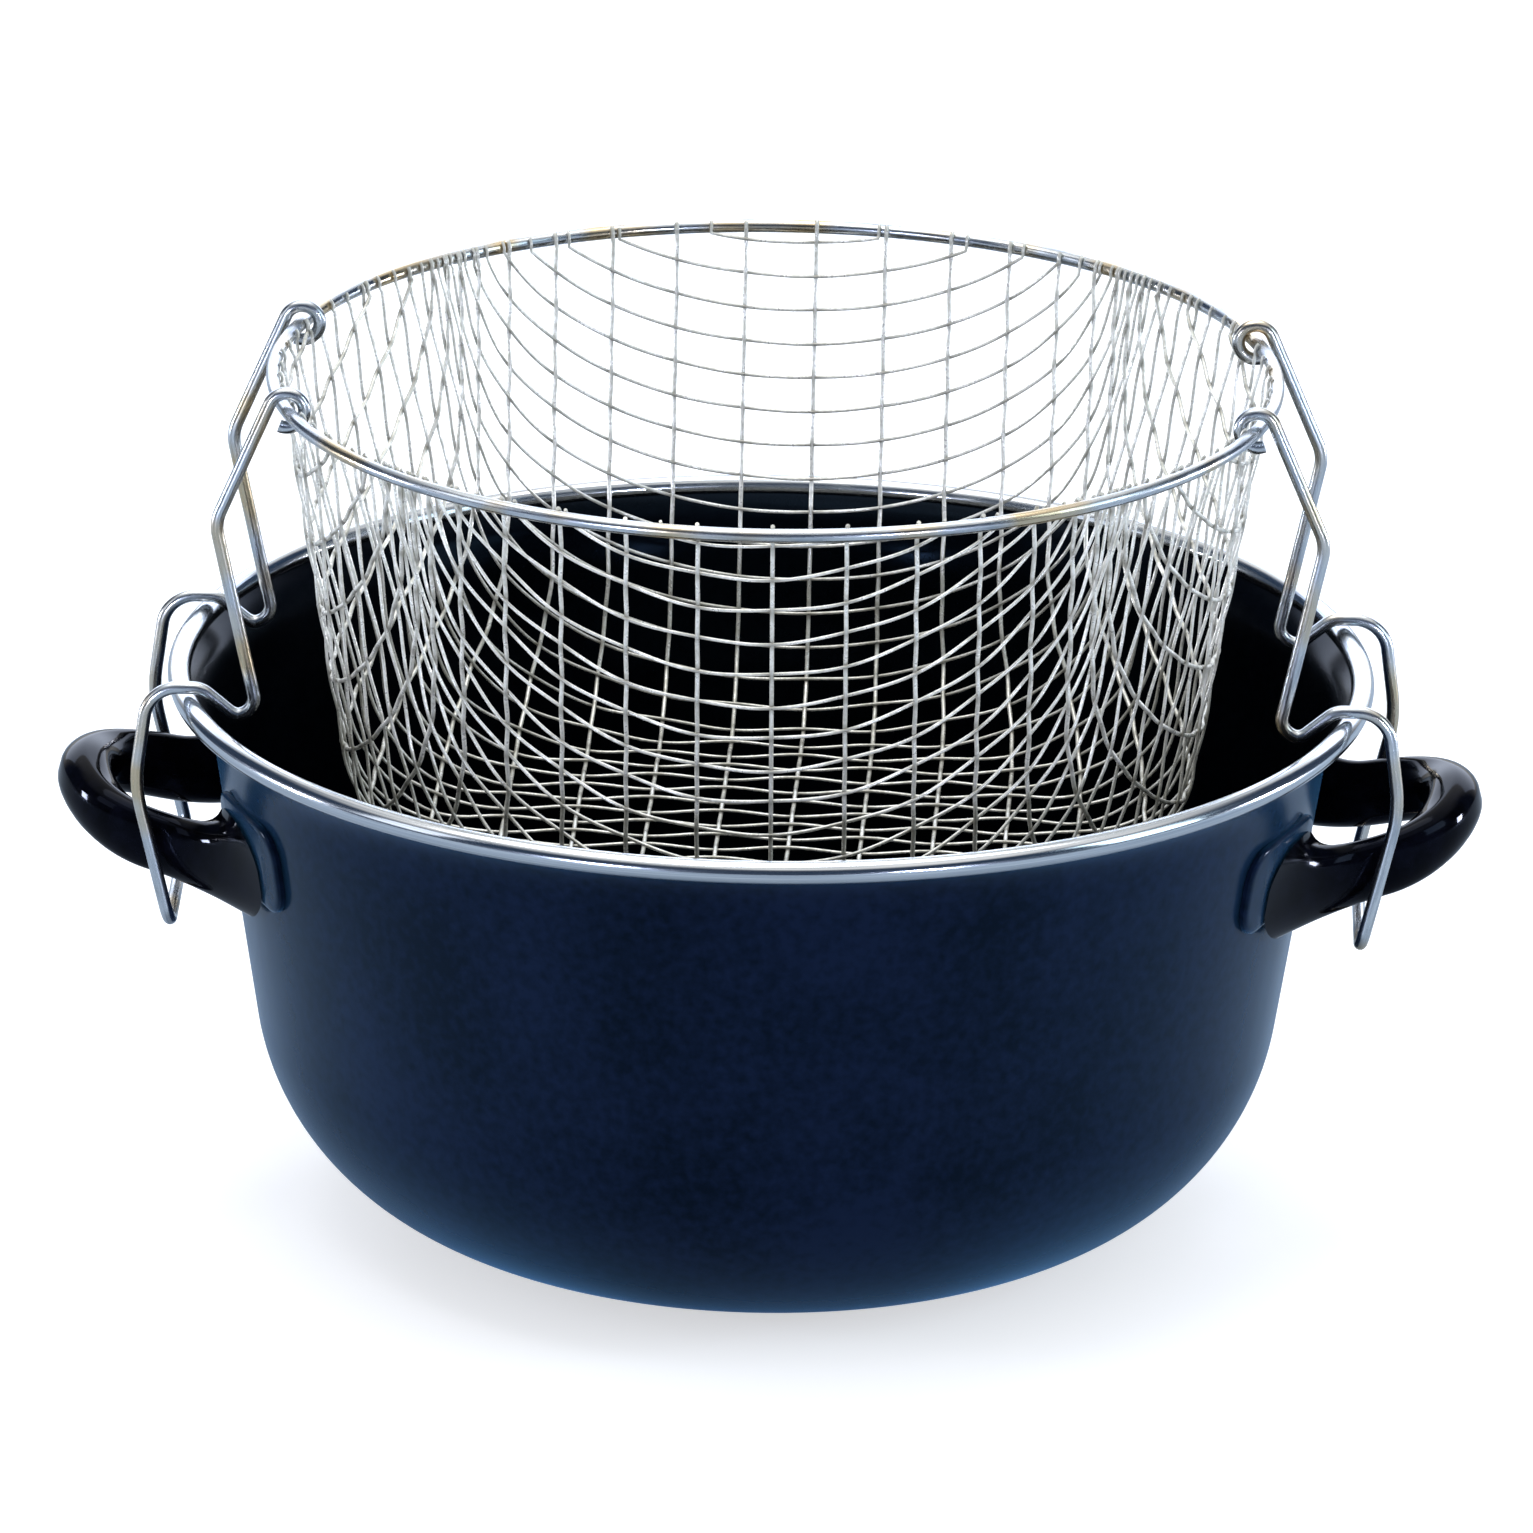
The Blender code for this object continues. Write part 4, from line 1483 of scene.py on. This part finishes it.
@dataclass
class Bail:
    """One bent wire: eyes round the hoop, legs, hooks, saddles, strands and the run across."""

    hoop: Hoop
    side: Side
    half_width: float = 0.0306020133
    wire: float = 0.0028
    eye_radius: float = 0.0038
    eye_sweep: float = 270.0
    knee: Point = (0.0151, -0.0255)
    knee_bend: float = 0.009
    hook_inner: float = 0.0148
    hook_outer: float = 0.0096
    hook_drop: float = 0.0016
    hook_bend: float = 0.0038
    saddle_inner: float = 0.0026
    saddle_outer: float = 0.0086
    saddle_bend: float = 0.005
    saddle_end_bend: float = 0.0075
    rim_gap: float = 0.0003
    strand_out: float = 0.0116
    strand_break: float = 0.018
    strand_bend: float = 0.030
    strand_foot_out: float = 0.0041
    strand_drop: float = 0.0495
    foot_bend: float = 0.004
    bend_step: float = 5.0
    least_steps: int = 3
    eye_steps: int = 48
    facets: int = 16

    @property
    def eye_x(self) -> float:
        """Distance of the eyes' middle from the YZ plane."""
        return math.sqrt(self.hoop.radius ** 2 - self.half_width ** 2)

    def leg(self) -> Tuple[List[Point], List[Point], List[float]]:
        """One leg in its own plane, as (x, z), from the eye to the foot.

        Returns:
            The eye's points, the corners after it, and the bends at the inner corners.
        """
        pot = self.hoop.pot
        eye = Vector((self.eye_x, self.hoop.z))
        knee = eye + Vector(self.knee)
        reach = knee - eye
        tangent = math.acos(self.eye_radius / reach.length)
        start = math.degrees(math.atan2(reach.y, reach.x) + tangent)
        circle = arc(tuple(eye), self.eye_radius, start + self.eye_sweep, start, self.eye_steps)
        saddle_x = math.sqrt(pot.rim_radius ** 2 - self.half_width ** 2)
        saddle_z = pot.rim_z + pot.bead + self.rim_gap + self.wire / 2
        corners = [circle[-1], tuple(knee),
                   (saddle_x - self.hook_inner, pot.rim_z - self.hook_drop),
                   (saddle_x - self.hook_outer, pot.rim_z - self.hook_drop),
                   (saddle_x - self.saddle_inner, saddle_z),
                   (saddle_x + self.saddle_outer, saddle_z),
                   (saddle_x + self.strand_out, pot.rim_z - self.strand_break),
                   (saddle_x + self.strand_foot_out, pot.rim_z - self.strand_drop)]
        bends = [self.knee_bend, self.hook_bend, self.hook_bend, self.saddle_bend,
                 self.saddle_end_bend, self.strand_bend]
        return circle[:-1], corners, bends

    def bend(self, corners: Sequence[Vector], bends: Sequence[float]) -> List[Vector]:
        """Rounds the inner corners of a run, each to its own radius.

        Args:
            corners: The run's corners.
            bends: Radii at all but the first and the last.

        Returns:
            The rounded run.
        """
        path = [corners[0]]
        for before, corner, after, radius in zip(corners, corners[1:], corners[2:], bends):
            back = (before - corner).normalized()
            ahead = (after - corner).normalized()
            half = back.angle(ahead) / 2
            middle = corner + (back + ahead).normalized() * (radius / math.sin(half))
            start = corner + back * (radius / math.tan(half)) - middle
            axis = back.cross(ahead).normalized()
            turn = math.pi - 2 * half
            steps = max(self.least_steps, math.ceil(math.degrees(turn) / self.bend_step))
            for k in range(steps + 1):
                path.append(middle + Matrix.Rotation(-turn * k / steps, 3, axis) @ start)
        path.append(corners[-1])
        return path

    def build(self, drawer: WireDrawer, finishes: Finishes) -> None:
        """Builds and dresses the bail.

        Args:
            drawer: Draws the wire.
            finishes: The shared finishes.
        """
        circle, corners, bends = self.leg()
        eye, down = ([Vector((self.side.value * x, -self.half_width, z)) for x, z in points]
                     for points in (circle, corners))
        body = self.bend(down + mirrored(down), bends + [self.foot_bend] * 2 + bends[::-1])
        run = stations_along(eye + body + mirrored(eye))
        node = "bail_" + self.side.word
        bail = drawer.draw("wire_" + node, [run], self.wire / 2, self.facets, finishes.wire)
        add_piece(bail, Body(node), [node])


# Studio

@dataclass(frozen=True)
class Softbox:
    """One soft lamp, aimed at the pot."""

    name: str
    place: Place
    size: Tuple[float, float]
    power: float
    tint: str = "#FFFFFF"
    aim: Place = (0.0, 0.0, 0.09)

    def build(self) -> None:
        """Adds the lamp to the scene, unseen by the camera."""
        data = bpy.data.lights.new(self.name, "AREA")
        data.shape = "RECTANGLE"
        data.size, data.size_y = self.size
        data.energy = self.power
        data.color = srgb(self.tint)[:3]
        lamp = bpy.data.objects.new(self.name, data)
        lamp.location = self.place
        way = Vector(self.aim) - Vector(self.place)
        lamp.rotation_euler = way.to_track_quat("-Z", "Y").to_euler()
        lamp.visible_camera = False
        bpy.context.scene.collection.objects.link(lamp)


@dataclass
class Studio:
    """White floor and surround, soft lamps, and the camera at the photograph's angle."""

    azimuth: float = 1.2
    elevation: float = 19.48
    roll: float = 0.82
    distance: float = 3.2
    focal_px: float = 14810.0
    frame_px: float = 1533.0
    sensor_mm: float = 36.0
    aim_right: float = -0.0007
    aim_z: float = 0.1002
    floor_size: float = 8.0
    floor_drop: float = 0.0002                       # keeps the paper clear of the pot's base
    ambient: float = 0.62
    white: str = "#FFFFFF"
    dusk: str = "#2C3D54"
    dusk_height: Tuple[float, float] = (0.84, 0.58)  # a way's z where dusk starts and is full
    dusk_depth: Tuple[float, float] = (0.93, 0.70)   # the same for a level way's y
    lamps: Tuple[Softbox, ...] = (
        Softbox("overhead_box", (-0.15, 0.15, 1.9), (1.8, 1.4), 22.0),
        Softbox("rear_panel", (0.0, 2.1, 0.85), (3.2, 1.2), 27.0, "#C4D4F2"),
        Softbox("left_panel", (-2.0, -0.7, 1.0), (0.7, 1.2), 4.5, "#EEF4FF"),
        Softbox("right_panel", (2.0, -0.5, 0.9), (0.8, 1.2), 12.0, "#DCF2FF"),
        Softbox("left_bulb", (-0.93, -1.63, 0.20), (0.20, 0.12), 10.0, "#DCE4FF"),
        Softbox("right_bulb", (0.95, -1.70, 0.20), (0.20, 0.12), 10.0, "#DCE4FF"),
        Softbox("left_window", (-1.86, 0.18, 0.14), (0.22, 0.18), 16.0, "#ECF0FF"),
        Softbox("right_window", (1.80, 0.48, 0.14), (0.22, 0.18), 16.0, "#ECF0FF"),
    )

    def world(self) -> None:
        """Sets the surround: white, with a room in dusk round the front, which only gloss shows."""
        world = bpy.data.worlds.new("white_surround")
        world.use_nodes = True
        bpy.context.scene.world = world
        tree = world.node_tree
        tree.nodes.clear()
        path = add_node(tree, "ShaderNodeLightPath")
        way = add_node(tree, "ShaderNodeTexCoord").outputs["Generated"]
        parts = add_node(tree, "ShaderNodeSeparateXYZ", {0: way})
        level_way = add_node(tree, "ShaderNodeCombineXYZ", {
            0: parts.outputs["X"], 1: parts.outputs["Y"]})
        heading = add_node(tree, "ShaderNodeVectorMath", {0: level_way.outputs[0]},
                           operation="NORMALIZE")
        depth = add_node(tree, "ShaderNodeSeparateXYZ", {0: heading.outputs[0]})
        low, near = (add_node(tree, "ShaderNodeMapRange", {
            "Value": value, "From Min": start, "From Max": full}, interpolation_type="SMOOTHSTEP")
            for value, (start, full) in ((parts.outputs["Z"], self.dusk_height),
                                         (depth.outputs["Y"], self.dusk_depth)))
        dark = add_node(tree, "ShaderNodeMath", {0: low.outputs[0], 1: near.outputs[0]},
                        operation="MULTIPLY")
        studio = add_node(tree, "ShaderNodeMix", {
            0: dark.outputs[0], 6: srgb(self.white), 7: srgb(self.dusk)}, data_type="RGBA")
        glossy = path.outputs["Is Glossy Ray"]
        seen = add_node(tree, "ShaderNodeMix", {
            0: glossy, 6: srgb(self.white), 7: studio.outputs[2]}, data_type="RGBA")
        mirror = add_node(tree, "ShaderNodeMath", {
            0: glossy, 1: path.outputs["Is Transmission Ray"]}, operation="MAXIMUM")
        direct = add_node(tree, "ShaderNodeMath", {
            0: path.outputs["Is Camera Ray"], 1: mirror.outputs[0]}, operation="MAXIMUM")
        level = add_node(tree, "ShaderNodeMapRange", {
            "Value": direct.outputs[0], "To Min": self.ambient})
        light = add_node(tree, "ShaderNodeBackground", {
            "Color": seen.outputs[2], "Strength": level.outputs[0]})
        add_node(tree, "ShaderNodeOutputWorld", {"Surface": light.outputs[0]})

    def floor(self) -> None:
        """Lays the paper floor under the pot."""
        half = self.floor_size / 2
        corners = [(-half, -half, 0.0), (half, -half, 0.0), (half, half, 0.0), (-half, half, 0.0)]
        floor = new_piece("studio_floor", corners, [(0, 1, 2, 3)], StudioPaper().material())
        floor.location.z = -self.floor_drop

    def camera(self) -> None:
        """Sets the camera at the photograph's viewing angle."""
        turn, tilt, roll = (math.radians(a) for a in (self.azimuth, self.elevation, self.roll))
        right = Vector((math.cos(turn), math.sin(turn), 0.0))
        level_back = Vector((math.sin(turn), -math.cos(turn), 0.0))
        back = level_back * math.cos(tilt) + Vector((0.0, 0.0, math.sin(tilt)))
        up = back.cross(right)
        data = bpy.data.cameras.new("camera")
        data.sensor_width = self.sensor_mm
        data.lens = self.focal_px / self.frame_px * self.sensor_mm
        camera = bpy.data.objects.new("camera", data)
        aim = right * self.aim_right + Vector((0.0, 0.0, self.aim_z))
        columns = (right * math.cos(roll) + up * math.sin(roll),
                   up * math.cos(roll) - right * math.sin(roll), back)
        turned = Matrix(columns).transposed().to_4x4()
        camera.matrix_world = Matrix.Translation(aim + back * self.distance) @ turned
        bpy.context.scene.collection.objects.link(camera)
        bpy.context.scene.camera = camera

    def build(self) -> None:
        """Builds the whole studio and sets the plain view transform."""
        self.world()
        self.floor()
        for lamp in self.lamps:
            lamp.build()
        self.camera()
        bpy.context.scene.view_settings.view_transform = "Standard"
        LOG.info("studio: %d lamps", len(self.lamps))


def main() -> None:
    """Builds the classes in order and reports each piece."""
    logging.basicConfig(level=logging.INFO, format="%(name)s %(message)s")
    Studio().build()
    finishes = Finishes()
    lathe = Lathe()
    drawer = WireDrawer()
    pot = Pot()
    pot.build(lathe, finishes)
    for side in Side:
        handle = SideHandle(pot, side)
        handle.build(finishes)
        for end in End:
            Bracket(handle, end).build(finishes)
    hoop = Hoop(pot)
    hoop.build(drawer, finishes)
    bails = [Bail(hoop, side) for side in Side]
    WovenMesh(BowlForm(hoop), bails[0]).build(drawer, finishes)
    for bail in bails:
        bail.build(drawer, finishes)


if __name__ == "__main__":
    main()
